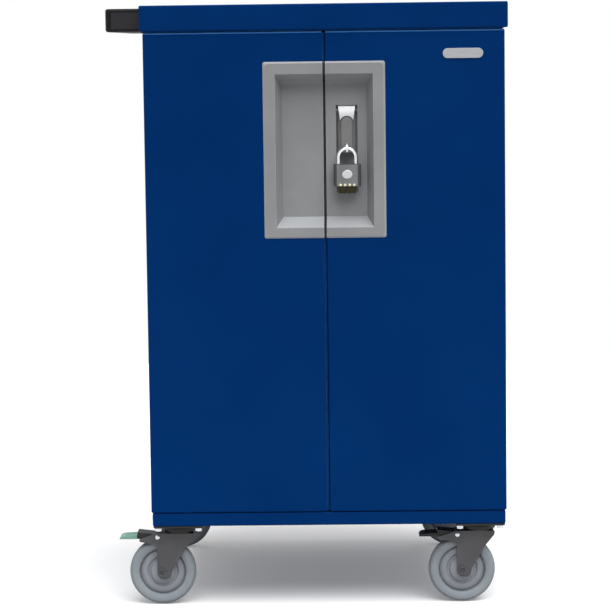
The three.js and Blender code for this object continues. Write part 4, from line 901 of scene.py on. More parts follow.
def cup_half(start, end, gap_x):
    """The part of the cup between two upright planes, its cut edge at the gap turned back."""
    bm = whole_cup()
    keep_between(bm, start, end)
    rim = [e for e in bm.edges if e.is_boundary and all(abs(v.co.x - gap_x) < CLOSE for v in e.verts)]
    drawn_out(bm, rim, (0, CUP_RETURN, 0))
    return bm


left_cup = thicken(cup_half(cup_low.x - MM, left_high.x, left_high.x), CUP_WALL / 2)
show("left_cup_half", left_cup, "silver_plastic", "left_pull_cup", edge_look="rim_and_sill_highlight")

# %% [markdown]
# A dark seal behind the gap is a narrow slice of the same dish, moved back. The right half has a pocket
# for the lever, pushed into its floor.

# %% Seal the gap and sink the pocket
GAP_SEAL_BACK = 4 * MM
POCKET_WIDTH = 40 * MM
POCKET_HEIGHT = 112 * MM
POCKET_DEPTH = 12 * MM
LATCH_DROP = 82 * MM

gap_seal = whole_cup()
keep_between(gap_seal, left_high.x - CUP_WALL, right_low.x - MEETING_STRIP_GAP)
bmesh.ops.translate(gap_seal, vec=(0, GAP_SEAL_BACK, 0), verts=gap_seal.verts)
for face in gap_seal.faces:
    face.material_index = 0
show("gap_seal", thicken(gap_seal, CUP_WALL / 4), "black_plastic", body="left_door")

lever_low, lever_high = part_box("latch_lever")
latch_x = (lever_low.x + lever_high.x) / 2
right_cup = cup_half(right_low.x, cup_high.x + MM, right_low.x)
pocket_top = cup_high.z - LATCH_DROP
pocket_low = Vector((latch_x - POCKET_WIDTH / 2, cup_floor, pocket_top - POCKET_HEIGHT))
pocket_high = Vector((latch_x + POCKET_WIDTH / 2, cup_floor, pocket_top))
pocket = sink_window(right_cup, widest_face(right_cup, FRONT), pocket_low, pocket_high, POCKET_DEPTH)
around = Vector((MM, MM, MM))


def on_pocket_rim(edge):
    """Tells if an edge lies on the cup's floor, along the mouth of the pocket."""
    first, second = [vert.co for vert in edge.verts]
    on_floor = abs(first.y - cup_floor) < CLOSE and abs(second.y - cup_floor) < CLOSE
    return on_floor and inside((first + second) / 2, pocket_low - around, pocket_high + around)


pocket_edges = {edge for vert in pocket.verts for edge in vert.link_edges}
pocket_edges |= {edge for wall in pocket_edges for face in wall.link_faces for edge in face.edges
                 if on_pocket_rim(edge)}
round_off(right_cup, list(pocket_edges), CUP_EDGE, segments=2)
right_cup = thicken(right_cup, CUP_WALL / 2)
show("right_cup_half", right_cup, "silver_plastic", "right_pull_cup", edge_look="rim_and_sill_highlight")

# %% [markdown]
# ## The lever latch
# The lever is a casting: a plate, a raised tongue with a round top, and an eye that the shackle goes
# through. It turns on two stub pins. The tongue is drawn in outline, and its round top is two corners
# with a radius of nearly half its width.

# %% Cast the lever
PLATE_WIDTH = 32 * MM
PLATE_SUNK = 3 * MM
TONGUE_WIDTH = 22 * MM
TONGUE_PROUD = 7 * MM
TONGUE_DROP = 21 * MM
TONGUE_CORNER = 2 * MM
TONGUE_EDGE = 2.5 * MM
ROUND_END = 0.49
PIVOT_DROP = 9 * MM
PIVOT_SUNK = 5 * MM
PIVOT_RADIUS = 3 * MM

lever_back = lever_high.y
tongue_face = cup_floor - TONGUE_PROUD
tongue_top = lever_high.z - TONGUE_DROP
back_plate = rounded_box(
    (latch_x - PLATE_WIDTH / 2, cup_floor + PLATE_SUNK, lever_low.z),
    (latch_x + PLATE_WIDTH / 2, lever_back, tongue_top), SOFT_EDGE)
tongue = plate("Y", [
    (latch_x - TONGUE_WIDTH / 2, lever_low.z, TONGUE_CORNER),
    (latch_x + TONGUE_WIDTH / 2, lever_low.z, TONGUE_CORNER),
    (latch_x + TONGUE_WIDTH / 2, tongue_top, TONGUE_WIDTH * ROUND_END),
    (latch_x - TONGUE_WIDTH / 2, tongue_top, TONGUE_WIDTH * ROUND_END),
], tongue_face, lever_back - MM, edge=TONGUE_EDGE, arc_segments=12, edge_segments=3)
pivot_centre = Vector((latch_x, cup_floor + PIVOT_SUNK, lever_high.z - PIVOT_DROP))
half_pin = (lever_high.x - lever_low.x) / 2
stubs = [spun("X", pivot_centre, bar_profile(PIVOT_RADIUS, side * PLATE_WIDTH / 2, side * half_pin), steps=24)
         for side in (-1, 1)]
show("cast_lever", join(back_plate, tongue, *stubs), "latch_metal", "latch_lever")

# %% [markdown]
# Above the tongue the casting has a polished scoop that curves back into the pocket and catches the light
# from above. Its light tone is partly a painted highlight. It is a plate with its lower edge drawn round
# the tongue, cut across and bent along a parabola. Between the two runs a groove whose dark floor is
# painted shade.

# %% Polish the scoop
SCOOP_THICKNESS = 1 * MM
SCOOP_GAP = 2 * MM
SCOOP_FRONT = 15.6 * MM
SCOOP_REACH = 8 * MM
SCOOP_STEPS = 10
ARCH_START = 20
ARCH_STEP = 10
ARCH_POINTS = 15

arc_centre = tongue_top - TONGUE_WIDTH / 2


def arch(radius):
    """An arc over the round top of the tongue, from right to left."""
    angles = [math.radians(ARCH_START + ARCH_STEP * step) for step in range(ARCH_POINTS)]
    return [(latch_x + radius * math.cos(angle), arc_centre + radius * math.sin(angle), 0)
            for angle in angles]


gap_arch = arch(TONGUE_WIDTH / 2 + SCOOP_GAP)
scoop_top = lever_high.z - MM
scoop = plate("Y", [
    (latch_x - PLATE_WIDTH / 2, scoop_top, 0), *reversed(gap_arch), (latch_x + PLATE_WIDTH / 2, scoop_top, 0),
], 0, SCOOP_THICKNESS)
scoop_height = scoop_top - min(vert.co.z for vert in scoop.verts)
for step in range(1, SCOOP_STEPS):
    cut_through(scoop, (0, 0, scoop_top - scoop_height * step / SCOOP_STEPS), UP)
for vert in scoop.verts:
    rise = 1 - (scoop_top - vert.co.z) / scoop_height
    vert.co.y += lever_back - SCOOP_FRONT + SCOOP_REACH * rise * rise
# The scoop's light tone is partly a painted highlight.
show("lever_scoop", scoop, "zinc_steel", body="latch_lever", look="bright_disc_and_scoop_highlight")
# A dark plate in the groove round the tongue is painted shade.
groove = plate("Y", [*gap_arch, *reversed(arch(TONGUE_WIDTH / 2 - SCOOP_GAP))],
               tongue_face + SCOOP_GAP, lever_back - MM)
show("lever_groove_shade", groove, "latch_metal", body="latch_lever", look="painted_shade_casing")

# %% [markdown]
# The eye below is bright as well. It is a ring on a short stem, and the ring is spun so that its hole is
# round.

# %% Turn the eye
EYE_HEIGHT = 19 * MM
EYE_THICKNESS = 4 * MM
EYE_HOLE = 4.6 * MM
STEM_INSET = 0.5 * MM

eye_half = EYE_THICKNESS / 2
eye_centre = Vector((latch_x, lever_low.y + EYE_HEIGHT / 2, lever_low.z + EYE_HEIGHT / 2))
eye = spun("X", eye_centre, [
    (EYE_HOLE, -eye_half), (EYE_HEIGHT / 2, -eye_half), (EYE_HEIGHT / 2, eye_half), (EYE_HOLE, eye_half),
], steps=40, closed=True, edge=SOFT_EDGE)
stem_low = Vector((latch_x - eye_half, eye_centre.y + EYE_HOLE + MM, lever_low.z + STEM_INSET))
stem_high = Vector((latch_x + eye_half, tongue_face + MM, lever_low.z + EYE_HEIGHT - STEM_INSET))
stem = rounded_box(stem_low, stem_high, SMALL_EDGE, 2)
show("lever_eye", join(eye, stem), "zinc_steel", body="latch_lever")

# %% [markdown]
# Behind the cup a rotor with two crank pins draws the lock rods. Its spindle and its disc are one turned
# part, so both come from one profile, and the pins are joined on.

# %% Turn the rotor
SPINDLE_RADIUS = 6 * MM
CRANK_PIN_RADIUS = 3 * MM
CRANK_RADIUS = 20 * MM
ROTOR_THICKNESS = 4 * MM

rotor_low, rotor_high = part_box("latch_rotor")
rotor_centre = (rotor_low + rotor_high) / 2
rotor_radius = (rotor_high.x - rotor_low.x) / 2
disc_front = cup_floor + POCKET_DEPTH + CUP_WALL + SEAT
disc_back = disc_front + ROTOR_THICKNESS
rotor = spun("Y", (rotor_centre.x, 0, rotor_centre.z), [
    (0, rotor_low.y), (SPINDLE_RADIUS, rotor_low.y), (SPINDLE_RADIUS, disc_front),
    (rotor_radius, disc_front), (rotor_radius, disc_back), (0, disc_back),
], edge=THIN_EDGE)
for side in (-1, 1):
    crank_centre = (rotor_centre.x + side * CRANK_RADIUS, 0, rotor_centre.z)
    crank = bar_profile(CRANK_PIN_RADIUS, disc_back - MM, rotor_high.y)
    join(rotor, spun("Y", crank_centre, crank, steps=24, edge=FINE_EDGE))
show("crank_rotor", rotor, "zinc_steel", "latch_rotor")

# %% [markdown]
# ## The padlock
# The shackle is one round bar: a circle pulled up, turned half round the bow and pulled down again. A
# curve with a round section would do as well, but spin gives an even bow with a known number of faces.

# %% Bend the shackle
shackle_low, shackle_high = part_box("padlock_shackle")
bar_radius = (shackle_high.y - shackle_low.y) / 2
bow_radius = (shackle_high.x - shackle_low.x) / 2 - bar_radius
bow_centre = Vector((latch_x, (shackle_low.y + shackle_high.y) / 2, shackle_high.z - bar_radius - bow_radius))

shackle = bmesh.new()
bmesh.ops.create_circle(shackle, cap_ends=True, radius=bar_radius, segments=24)
bmesh.ops.translate(shackle, vec=(latch_x - bow_radius, bow_centre.y, shackle_low.z), verts=shackle.verts)
leg = Vector((0, 0, bow_centre.z - shackle_low.z))
end = extruded(shackle, shackle.faces[:], leg)
bow = bmesh.ops.spin(shackle, geom=end, cent=bow_centre, axis=BACK, angle=math.pi, steps=28)
bmesh.ops.delete(shackle, geom=[face for face in end if face.is_valid], context="FACES_ONLY")
pulled(shackle, faces_of(bow["geom_last"]), -leg)
bmesh.ops.remove_doubles(shackle, verts=shackle.verts, dist=WELD)
bmesh.ops.recalc_face_normals(shackle, faces=shackle.faces)
show("bent_shackle", shackle, "chrome", "padlock_shackle")

# %% [markdown]
# The lock body is a casting with well rounded sides, in a darker copy of the casting's finish that paints
# the shade on those sides. A slot is pushed up into it from below for the number wheels, which turn on a
# thin axle between two round lugs.

# %% Cast the lock body
LOCK_HEIGHT = 41.3 * MM
LOCK_SIDE_RADIUS = 6 * MM
LOCK_EDGE = 1.5 * MM
LUG = 2.5 * MM
LUG_RADIUS = 9 * MM
AXLE_PIN_RADIUS = 2 * MM

lock_low, lock_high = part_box("padlock_body")
lock_low.z = lock_high.z - LOCK_HEIGHT
lock_centre = (lock_low + lock_high) / 2
first_dial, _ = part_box("padlock_dial_1")
_, last_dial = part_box("padlock_dial_4")
casting = box_shape(lock_low, lock_high)
upright = [e for e in casting.edges if abs(e.verts[0].co.z - e.verts[1].co.z) > MM]
round_off(casting, upright, LOCK_SIDE_RADIUS, segments=6)
slot_low = Vector((first_dial.x - 2 * SEAT, first_dial.y - SEAT, 0))
slot_high = Vector((last_dial.x + 2 * SEAT, last_dial.y + SEAT, 0))
sink_window(casting, widest_face(casting, DOWN), slot_low, slot_high, last_dial.z - lock_low.z + SEAT)
top_rim = [e for e in sharp_edges(casting) if min(v.co.z for v in e.verts) > lock_high.z - CLOSE]
round_off(casting, top_rim, LOCK_EDGE)
axle_half = (slot_high.x - slot_low.x) / 2
axle_centre = Vector((lock_centre.x, lock_centre.y, (first_dial.z + last_dial.z) / 2))
dial_axle = spun("X", axle_centre, bar_profile(AXLE_PIN_RADIUS, -axle_half, axle_half), steps=16)
lugs = [spun("X", axle_centre, bar_profile(LUG_RADIUS, side * axle_half, side * (axle_half + LUG)),
             steps=40, edge=SMALL_EDGE) for side in (-1, 1)]
# The body takes the darker copy, painted shade on its rounded sides.
show("lock_body", join(casting, dial_axle, *lugs), "lock_casing", "padlock_body", look="painted_shade_casing")

# %% [markdown]
# The front has a face plate in the casting's own tone, lighter than the painted shade of the body, with a
# plain oval disc. Below it a small bright brass mark over each number wheel is a painted glint. Disc and
# marks are the same low button, and the disc is flattened a little.

# %% Press the lock's face
FACE_WIDTH = 39 * MM
FACE_PROUD = 0.6 * MM
DISC_RADIUS = 9.4 * MM
DISC_PROUD = 0.7 * MM
DISC_RISE = 1.6 * MM
DISC_FLATNESS = 0.86
MARK_RADIUS = 2.2 * MM
MARK_RISE = 2.6 * MM

face_front = lock_low.y - FACE_PROUD
face_plate = rounded_box(
    (lock_centre.x - FACE_WIDTH / 2, face_front, lock_low.z),
    (lock_centre.x + FACE_WIDTH / 2, lock_low.y + FACE_PROUD, lock_high.z - LOCK_EDGE), FINE_EDGE, 2)
show("lock_face", face_plate, "lock_casing", body="padlock_body")


def button(x, z, radius, slope, steps):
    """A low round button on the face plate, with a sloped edge."""
    return spun("Y", (x, face_front, z), [
        (0, -DISC_PROUD), (radius - slope, -DISC_PROUD), (radius, 0), (radius, MM), (0, MM)], steps=steps)


disc_z = lock_centre.z + DISC_RISE
disc = button(lock_centre.x, disc_z, DISC_RADIUS, MM, 48)
to_disc = Matrix.Translation((-lock_centre.x, -face_front, -disc_z))
bmesh.ops.scale(disc, vec=(1, 1, DISC_FLATNESS), space=to_disc, verts=disc.verts)
show("lock_disc", disc, "zinc_steel", body="padlock_body", look="bright_disc_and_scoop_highlight")
marks = []
for index in range(1, 5):
    dial_low, dial_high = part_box(f"padlock_dial_{index}")
    dial_x = (dial_low.x + dial_high.x) / 2
    marks.append(button(dial_x, lock_low.z + MARK_RISE, MARK_RADIUS, MARK_RADIUS / 2, 20))
# The marks are painted glints.
show("glint_marks", join(*marks), "dial_brass", body="padlock_body", look="painted_brass_glint")

# %% [markdown]
# The number wheels have finger grooves round them. A circle with every second corner drawn in is such an
# outline, and it is given the width of the wheel.

# %% Mill the number wheels
DIAL_TEETH = 20
DIAL_GROOVE = 0.92


def number_wheel(node):
    """A small wheel with finger grooves round it."""
    low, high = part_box(node)
    centre = (low + high) / 2
    bm = bmesh.new()
    bmesh.ops.create_circle(bm, cap_ends=True, radius=(high.z - low.z) / 2, segments=2 * DIAL_TEETH)
    dips = [vert for index, vert in enumerate(bm.verts) if index % 2]
    bmesh.ops.scale(bm, vec=(DIAL_GROOVE, DIAL_GROOVE, 1), verts=dips)
    bmesh.ops.rotate(bm, cent=(0, 0, 0), matrix=Matrix.Rotation(math.pi / 2, 3, "Y"), verts=bm.verts)
    bmesh.ops.translate(bm, vec=(low.x, centre.y, centre.z), verts=bm.verts)
    extruded(bm, bm.faces[:], (high.x - low.x, 0, 0))
    bmesh.ops.recalc_face_normals(bm, faces=bm.faces)
    round_caps(bm, "X", THIN_EDGE, 1)
    return bm


# The wheels' dark brass with bright edges is painted shade and painted glints.
for index in range(1, 5):
    dial = f"padlock_dial_{index}"
    show(f"number_wheel_{index}", number_wheel(dial), "dial_brass", dial)

# %% [markdown]
# ## The blank badge
# A small pill of bright metal sits high on the right door. It carries nothing, so it is only a rounded
# plate with a soft edge, pressed on the door's face.

# %% Press the badge
BADGE_WIDTH = 75 * MM
BADGE_HEIGHT = 18.5 * MM
BADGE_FROM_SIDE = 40 * MM
BADGE_FROM_TOP = 32.5 * MM
BADGE_THICKNESS = 2 * MM

badge_right = right_high.x - BADGE_FROM_SIDE
badge_top = right_high.z - BADGE_FROM_TOP
pill = rectangle(badge_right - BADGE_WIDTH, badge_top - BADGE_HEIGHT, badge_right, badge_top,
                 BADGE_HEIGHT * ROUND_END)
badge = plate("Y", pill, door_face - BADGE_THICKNESS, door_face, edge=SOFT_EDGE, arc_segments=10)
show("blank_badge", badge, "zinc_steel", body="right_door", look="satin_zinc")

# %% [markdown]
# ## The push handle
# The handle is a black moulding in the form of a long loop on the left end of the top. A C-shaped outline
# with rounded corners is pulled up to the handle's height and softened all round. Each end has a sunk
# panel, made by two insets, that is marked for its own tone.

# %% Mould the handle
HANDLE_GRIP = 25 * MM
HANDLE_ARM = 30 * MM
HANDLE_CORNER = 10 * MM
HANDLE_EDGE = 5.5 * MM
PANEL_RIM = 0.6 * MM
PANEL_STEP = 0.4 * MM
PANEL_SUNK = 1.6 * MM

grip_low, grip_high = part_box("push_handle")
inner_corner = HANDLE_CORNER - HANDLE_EDGE
handle = plate("Z", [
    (grip_high.x, grip_low.y, 0),
    (grip_low.x, grip_low.y, HANDLE_CORNER),
    (grip_low.x, grip_high.y, HANDLE_CORNER),
    (grip_high.x, grip_high.y, 0),
    (grip_high.x, grip_high.y - HANDLE_ARM, 0),
    (grip_low.x + HANDLE_GRIP, grip_high.y - HANDLE_ARM, inner_corner),
    (grip_low.x + HANDLE_GRIP, grip_low.y + HANDLE_ARM, inner_corner),
    (grip_high.x, grip_low.y + HANDLE_ARM, 0),
], grip_low.z, grip_high.z, edge=HANDLE_EDGE, arc_segments=10, edge_segments=4)
for direction in (FRONT, BACK):
    ends = [f for f in handle.faces if f.normal.dot(direction) > FACING
            and abs(f.calc_center_median().y) > grip_high.y - MM]
    panel = max(ends, key=lambda face: face.calc_area())
    bmesh.ops.inset_region(handle, faces=[panel], thickness=PANEL_RIM)
    bmesh.ops.inset_region(handle, faces=[panel], thickness=PANEL_STEP, depth=-PANEL_SUNK)
    panel.material_index = MARKED
# The rounded edges and the panel rims carry painted shade from their finishes.
show("moulded_handle", handle, "black_plastic", "push_handle",
     look="handle_plastic", edge_look="handle_panel")

# %% [markdown]
# ## The casters
# Each caster has a bolted plate with its ball race, a fork pressed from steel sheet, a wheel with a
# rubber tyre and an axle. A wheel could be built up from cylinders. Spun from one profile, it gets its
# crown, its groove and its boss in a single step. Profiles and outlines here are in millimetres, and a
# wheel's profile is written for one side only.

# %% Spin a wheel
TYRE_SIDE = [(44, 10), (45.2, 12.8), (48, 14.6), (53, 15.6), (58, 14.8), (61.8, 11), (63.2, 5), (63.5, 0)]
HUB_SIDE = [
    (5.3, 18.7), (9, 18.7), (11, 15), (19, 13.6), (22.5, 12), (24.5, 7), (27.5, 6.6), (30, 9.6), (34, 10),
    (38.5, 9), (41.4, 7), (42.6, 5.5), (43.7, 5.5)]
WHEEL_STEPS = 96
WHEEL_SHARP = 35
AXLE_RADIUS = 5 * MM
AXLE_HEAD = 5 * MM
AXLE_HEAD_RADIUS = 8 * MM
AXLE_HOLE_DEPTH = 4 * MM
AXLE_HOLE_FLOOR = 4.6 * MM
AXLE_HOLE_MOUTH = 5.4 * MM


def both_sides(half):
    """A profile with its mirror image on the other side of the wheel."""
    return half + [(radius, -along) for radius, along in reversed(half)]


def wheel_ring(node, half, edge):
    low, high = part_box(node)
    profile = [(radius * MM, along * MM) for radius, along in both_sides(half)]
    ring = spun("Y", (low + high) / 2, profile, steps=WHEEL_STEPS, closed=True)
    return soften(ring, edge, degrees=WHEEL_SHARP)


def axle_shape(node):
    """A bolt through the wheel with a hollow, rolled head on each side."""
    low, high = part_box(node)
    end = (high.y - low.y) / 2
    neck = end - AXLE_HEAD
    hole = end - AXLE_HOLE_DEPTH
    half = [(0, hole), (AXLE_HOLE_FLOOR, hole), (AXLE_HOLE_MOUTH, end), (AXLE_HEAD_RADIUS, end),
            (AXLE_HEAD_RADIUS, neck), (AXLE_RADIUS, neck)]
    return spun("Y", (low + high) / 2, both_sides(half), steps=32, edge=FINE_EDGE)


# %% [markdown]
# The fork has two cheeks of one outline, which reach out as wings for the brake, and a crown that joins
# them below the ball race. Outlines are measured from the swivel's axis, so one drawing serves all four
# corners.

# %% Press a fork
FORK_PLATE = 3 * MM
CHEEK = [(29, 139, 2), (29, 132, 8), (11.5, 111, 14), (-16.5, 64, 20), (-16.5, 50, 12), (-43.5, 50, 13.4),
         (-43.5, 117, 4), (-77, 123, 3), (-77, 128, 2), (-48, 138, 8), (-34, 139, 3)]
CROWN_LEFT = 34 * MM
CROWN_RIGHT = 27.5 * MM
CROWN_HEIGHT = 4 * MM


def from_swivel(axis_x, outline):
    """An outline in millimetres from the swivel's axis as one in the frame."""
    return [(axis_x + u * MM, v * MM, radius * MM) for u, v, radius in outline]


def fork_shape(node, axis_x):
    low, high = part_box(node)
    cheek = from_swivel(axis_x, CHEEK)
    near = plate("Y", cheek, low.y, low.y + FORK_PLATE, edge=SOFT_EDGE)
    far = plate("Y", cheek, high.y - FORK_PLATE, high.y, edge=SOFT_EDGE)
    crown_low = Vector((axis_x - CROWN_LEFT, low.y + MM, high.z - CROWN_HEIGHT))
    crown_high = Vector((axis_x + CROWN_RIGHT, high.y - MM, high.z))
    return join(near, far, rounded_box(crown_low, crown_high, ROUND_EDGE))


# %% [markdown]
# The plate is held by four hexagon bolts. Their heads are cones of six sides with equal ends, with the
# corners turned off by a bevel.

# %% Turn a swivel plate
SWIVEL_PLATE = 4 * MM
SWIVEL_CORNER = 8 * MM
BOLT_SPREAD_X = 76 * MM
BOLT_SPREAD_Y = 80 * MM
BOLT_RADIUS = 7 * MM
BOLT_HEAD = 7 * MM
RACE = [(0, 139.3), (27, 139.3), (31, 143), (31, 149), (27, 155), (0, 155)]


def swivel_plate(low, high):
    outline = rectangle(low.x, low.y, high.x, high.y, SWIVEL_CORNER)
    return plate("Z", outline, high.z - SWIVEL_PLATE, high.z, edge=SOFT_EDGE)


def race_shape(axis_x, axis_y):
    return spun("Z", (axis_x, axis_y, 0), [(r * MM, z * MM) for r, z in RACE], edge=SOFT_EDGE)


def bolt_head(x, y, top):
    """A hexagon head with its corners turned off."""
    bm = bmesh.new()
    bmesh.ops.create_cone(bm, cap_ends=True, segments=6, radius1=BOLT_RADIUS, radius2=BOLT_RADIUS,
                          depth=BOLT_HEAD)
    bmesh.ops.translate(bm, vec=(x, y, top - BOLT_HEAD / 2), verts=bm.verts)
    return soften(bm, ROUND_EDGE, 3)


# %% [markdown]
# On the front casters a pressed lever turns on a cross pin between the fork's wings and carries a foot
# pad with ribs. Lever, pad and ribs are outlines with a thickness, and the domed ends of the pin are
# spun.

# %% Press the brake parts
PEDAL = [(-31, 129.2, 1), (-31, 135.2, 2), (-80.7, 141.2, 1), (-80.7, 128.2, 1), (-50, 128.2, 2)]
PEDAL_HALF = 18.7 * MM
PAD = [(-81, 128.2, 1), (-81, 134.8, 1), (-108, 133.8, 3), (-113, 131.6, 1.5), (-116, 128.2, 1)]
PAD_RIB = [(-84, 131, 0), (-84, 135.6, 0), (-105, 134.8, 0), (-105, 131, 0)]
RIB_COUNT = 4
RIB_WIDTH = 2 * MM
RIB_MARGIN = 6 * MM
RIVET_X = -42 * MM
RIVET_Z = 131.7 * MM
RIVET_DOME = [(0, 0), (2.5, 0.3), (3.4, 1), (4.4, 2), (0, 2)]


def brake_lever(node, axis_x):
    low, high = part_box(node)
    centre_y = (low.y + high.y) / 2
    outline = from_swivel(axis_x, PEDAL)
    return plate("Y", outline, centre_y - PEDAL_HALF, centre_y + PEDAL_HALF, edge=SOFT_EDGE)


def rivets(node, axis_x):
    """The domed heads of the cross pin that the lever turns on."""
    low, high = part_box(node)
    centre = Vector((axis_x + RIVET_X, 0, RIVET_Z))
    near = [(radius * MM, low.y + depth * MM) for radius, depth in RIVET_DOME]
    far = [(radius * MM, high.y - depth * MM) for radius, depth in RIVET_DOME]
    return join(spun("Y", centre, near, steps=24), spun("Y", centre, far, steps=24))


def pedal_pad(node, axis_x):
    low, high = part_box(node)
    pad = plate("Y", from_swivel(axis_x, PAD), low.y, high.y, edge=ROUND_EDGE, edge_segments=3)
    rib = from_swivel(axis_x, PAD_RIB)
    pitch = (high.y - low.y - 2 * RIB_MARGIN) / (RIB_COUNT - 1)
    for index in range(RIB_COUNT):
        y = low.y + RIB_MARGIN + index * pitch
        join(pad, plate("Y", rib, y - RIB_WIDTH / 2, y + RIB_WIDTH / 2, edge=FINE_EDGE))
    return pad


# %% [markdown]
# All four casters come from the same calls. Each piece rides on the body of its own node, the race and
# the bolts stay with the cabinet, and only the front casters have a brake.

# %% Assemble the casters
for corner in ("front_left", "front_right", "rear_left", "rear_right"):
    tyre, hub, axle = [f"{corner}_wheel_{part}" for part in ("tyre", "hub", "axle")]
    fork, mounting = [f"{corner}_caster_{part}" for part in ("fork", "plate")]
    pedal, pad = [f"{corner}_brake_{part}" for part in ("pedal", "pad")]
    plate_low, plate_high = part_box(mounting)
    swivel_x = (plate_low.x + plate_high.x) / 2
    swivel_y = (plate_low.y + plate_high.y) / 2
    show(f"{corner}_tyre", wheel_ring(tyre, TYRE_SIDE, SOFT_EDGE), "grey_rubber", tyre)
    show(f"{corner}_hub", wheel_ring(hub, HUB_SIDE, THIN_EDGE), "hub_plastic", hub)
    show(f"{corner}_axle", axle_shape(axle), "fork_paint", axle)
    show(f"{corner}_fork", fork_shape(fork, swivel_x), "fork_paint", fork)
    show(f"{corner}_swivel_plate", swivel_plate(plate_low, plate_high), "black_steel", mounting)
    show(f"{corner}_race", race_shape(swivel_x, swivel_y), "black_steel", body="cabinet")
    heads = [bolt_head(swivel_x + i * BOLT_SPREAD_X / 2, swivel_y + j * BOLT_SPREAD_Y / 2,
                       plate_high.z - SWIVEL_PLATE) for i in (-1, 1) for j in (-1, 1)]
    show(f"{corner}_bolts", join(*heads), "zinc_steel", body="cabinet")
    if pad in owner:
        pad_slot = "green_plastic" if corner == "front_left" else "black_plastic"
        show(f"{corner}_lever", brake_lever(pedal, swivel_x), "black_steel", pedal)
        show(f"{corner}_rivets", rivets(pedal, swivel_x), "zinc_steel", body=f"{corner}_brake")
        show(f"{corner}_pad", pedal_pad(pad, swivel_x), pad_slot, pad)

# %% [markdown]
# ## The rear door
# The rear door is one wide pan with four banks of louvres and a key lock. The slots are cut while the pan
# is an open sheet, and each gets a small pressed hood, open below, that keeps fingers and dust out.

# %% Fold the rear door
LOUVRE_LENGTH = 180 * MM
LOUVRE_HEIGHT = 9 * MM
LOUVRE_PITCH = 26 * MM
LOUVRE_ROWS = 4
LOUVRE_BANK_X = 150 * MM
LOUVRE_BANK_Z = 300 * MM
HOOD_PROUD = 4 * MM
HOOD_RISE = 3 * MM
HOOD_BEND = 3 * MM
HOOD_SHEET = 1 * MM

rear_low, rear_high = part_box("rear_door")
rear_middle = (rear_low + rear_high) / 2
slots = []
for bank_x in (-LOUVRE_BANK_X, LOUVRE_BANK_X):
    for bank_z in (-LOUVRE_BANK_Z, LOUVRE_BANK_Z):
        for row in range(LOUVRE_ROWS):
            rise_z = bank_z + (row - (LOUVRE_ROWS - 1) / 2) * LOUVRE_PITCH
            slots.append(Vector((rear_middle.x + bank_x, rear_high.y, rear_middle.z + rise_z)))


def louvre_hood(slot):
    """A hood over one slot, open at its back and below."""
    half = LOUVRE_LENGTH / 2 + MM
    low = Vector((slot.x - half, slot.y, slot.z - LOUVRE_HEIGHT / 2))
    high = Vector((slot.x + half, slot.y + HOOD_PROUD, slot.z + LOUVRE_HEIGHT / 2 + HOOD_RISE))
    bm = box_shape(low, high)
    gone = [face for face in bm.faces if face.normal.y < -FACING or face.normal.z < -FACING]
    bmesh.ops.delete(bm, geom=gone, context="FACES")
    round_off(bm, sharp_edges(bm), HOOD_BEND, segments=4)
    return thicken(bm, HOOD_SHEET)


rear_pan = folded_pan(rear_low, rear_high, FRONT, DOOR_LIP)
reach = Vector((LOUVRE_LENGTH / 2, 2 * BEND, LOUVRE_HEIGHT / 2))
for slot in slots:
    cut_window(rear_pan, slot - reach, slot + reach)
rear_shape = join(thicken(rear_pan), *[louvre_hood(slot) for slot in slots])
show("rear_door_pan", rear_shape, "blue_powder_coat", "rear_door")

# %% [markdown]
# The key lock is a turned barrel with a wider head and a flat cam behind the door. Its profile is left
# open at the key's face, which is then filled as one flat face, so that the slot for the key can be
# pushed into it.

# %% Turn the rear lock
BARREL_RADIUS = 9 * MM
CAM_WIDTH = 16 * MM
CAM_THICKNESS = 2.5 * MM
KEY_SLOT = Vector((1.8, 0, 8)) * MM
KEY_FACE_RADIUS = 6 * MM
KEY_DEPTH = 4 * MM

turn_low, turn_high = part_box("rear_lock")
head_radius = (turn_high.x - turn_low.x) / 2
key_centre = Vector(((turn_low.x + turn_high.x) / 2, 0, turn_high.z - head_radius))
barrel = spun("Y", key_centre, [
    (0, turn_low.y), (BARREL_RADIUS, turn_low.y), (BARREL_RADIUS, rear_high.y + SEAT),
    (head_radius, rear_high.y + SEAT), (head_radius - MM, turn_high.y), (KEY_FACE_RADIUS, turn_high.y),
], steps=48)
bmesh.ops.contextual_create(barrel, geom=[edge for edge in barrel.edges if edge.is_boundary])
bmesh.ops.recalc_face_normals(barrel, faces=barrel.faces)
key_middle = Vector((key_centre.x, turn_high.y, key_centre.z))
key_face = widest_face(barrel, BACK)
sink_window(barrel, key_face, key_middle - KEY_SLOT / 2, key_middle + KEY_SLOT / 2, KEY_DEPTH)
cam = rounded_box(
    (key_centre.x - CAM_WIDTH / 2, turn_low.y, turn_low.z),
    (key_centre.x + CAM_WIDTH / 2, turn_low.y + CAM_THICKNESS, key_centre.z + CAM_WIDTH / 2), SOFT_EDGE)
show("key_lock", join(barrel, cam), "zinc_steel", "rear_lock")

# %% [markdown]
# ## Inside the cabinet
# Behind the doors each tier has a rack of fins that stand the laptops on edge. A fin is one outline with
# a large radius at its upper front corner, repeated along a thin base.

# %% Make the racks
RACK_SLOTS = 10
RACK_PITCH = 59 * MM
FIN = 2 * MM
FIN_FOOT = 2 * MM
FIN_BACK = 8 * MM
FIN_CURVE = 90 * MM


def rack_shape(node):
    low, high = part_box(node)
    rack = rounded_box(low, (high.x, high.y, low.z + FIN), SMALL_EDGE, 1)
    outline = [(low.y, low.z, FIN_FOOT), (high.y, low.z, FIN_FOOT),
               (high.y, high.z, FIN_BACK), (low.y, high.z, FIN_CURVE)]
    for index in range(RACK_SLOTS + 1):
        x = low.x + 1.5 * FIN + index * RACK_PITCH
        join(rack, plate("X", outline, x - FIN / 2, x + FIN / 2, edge=SMALL_EDGE, arc_segments=12))
    return rack


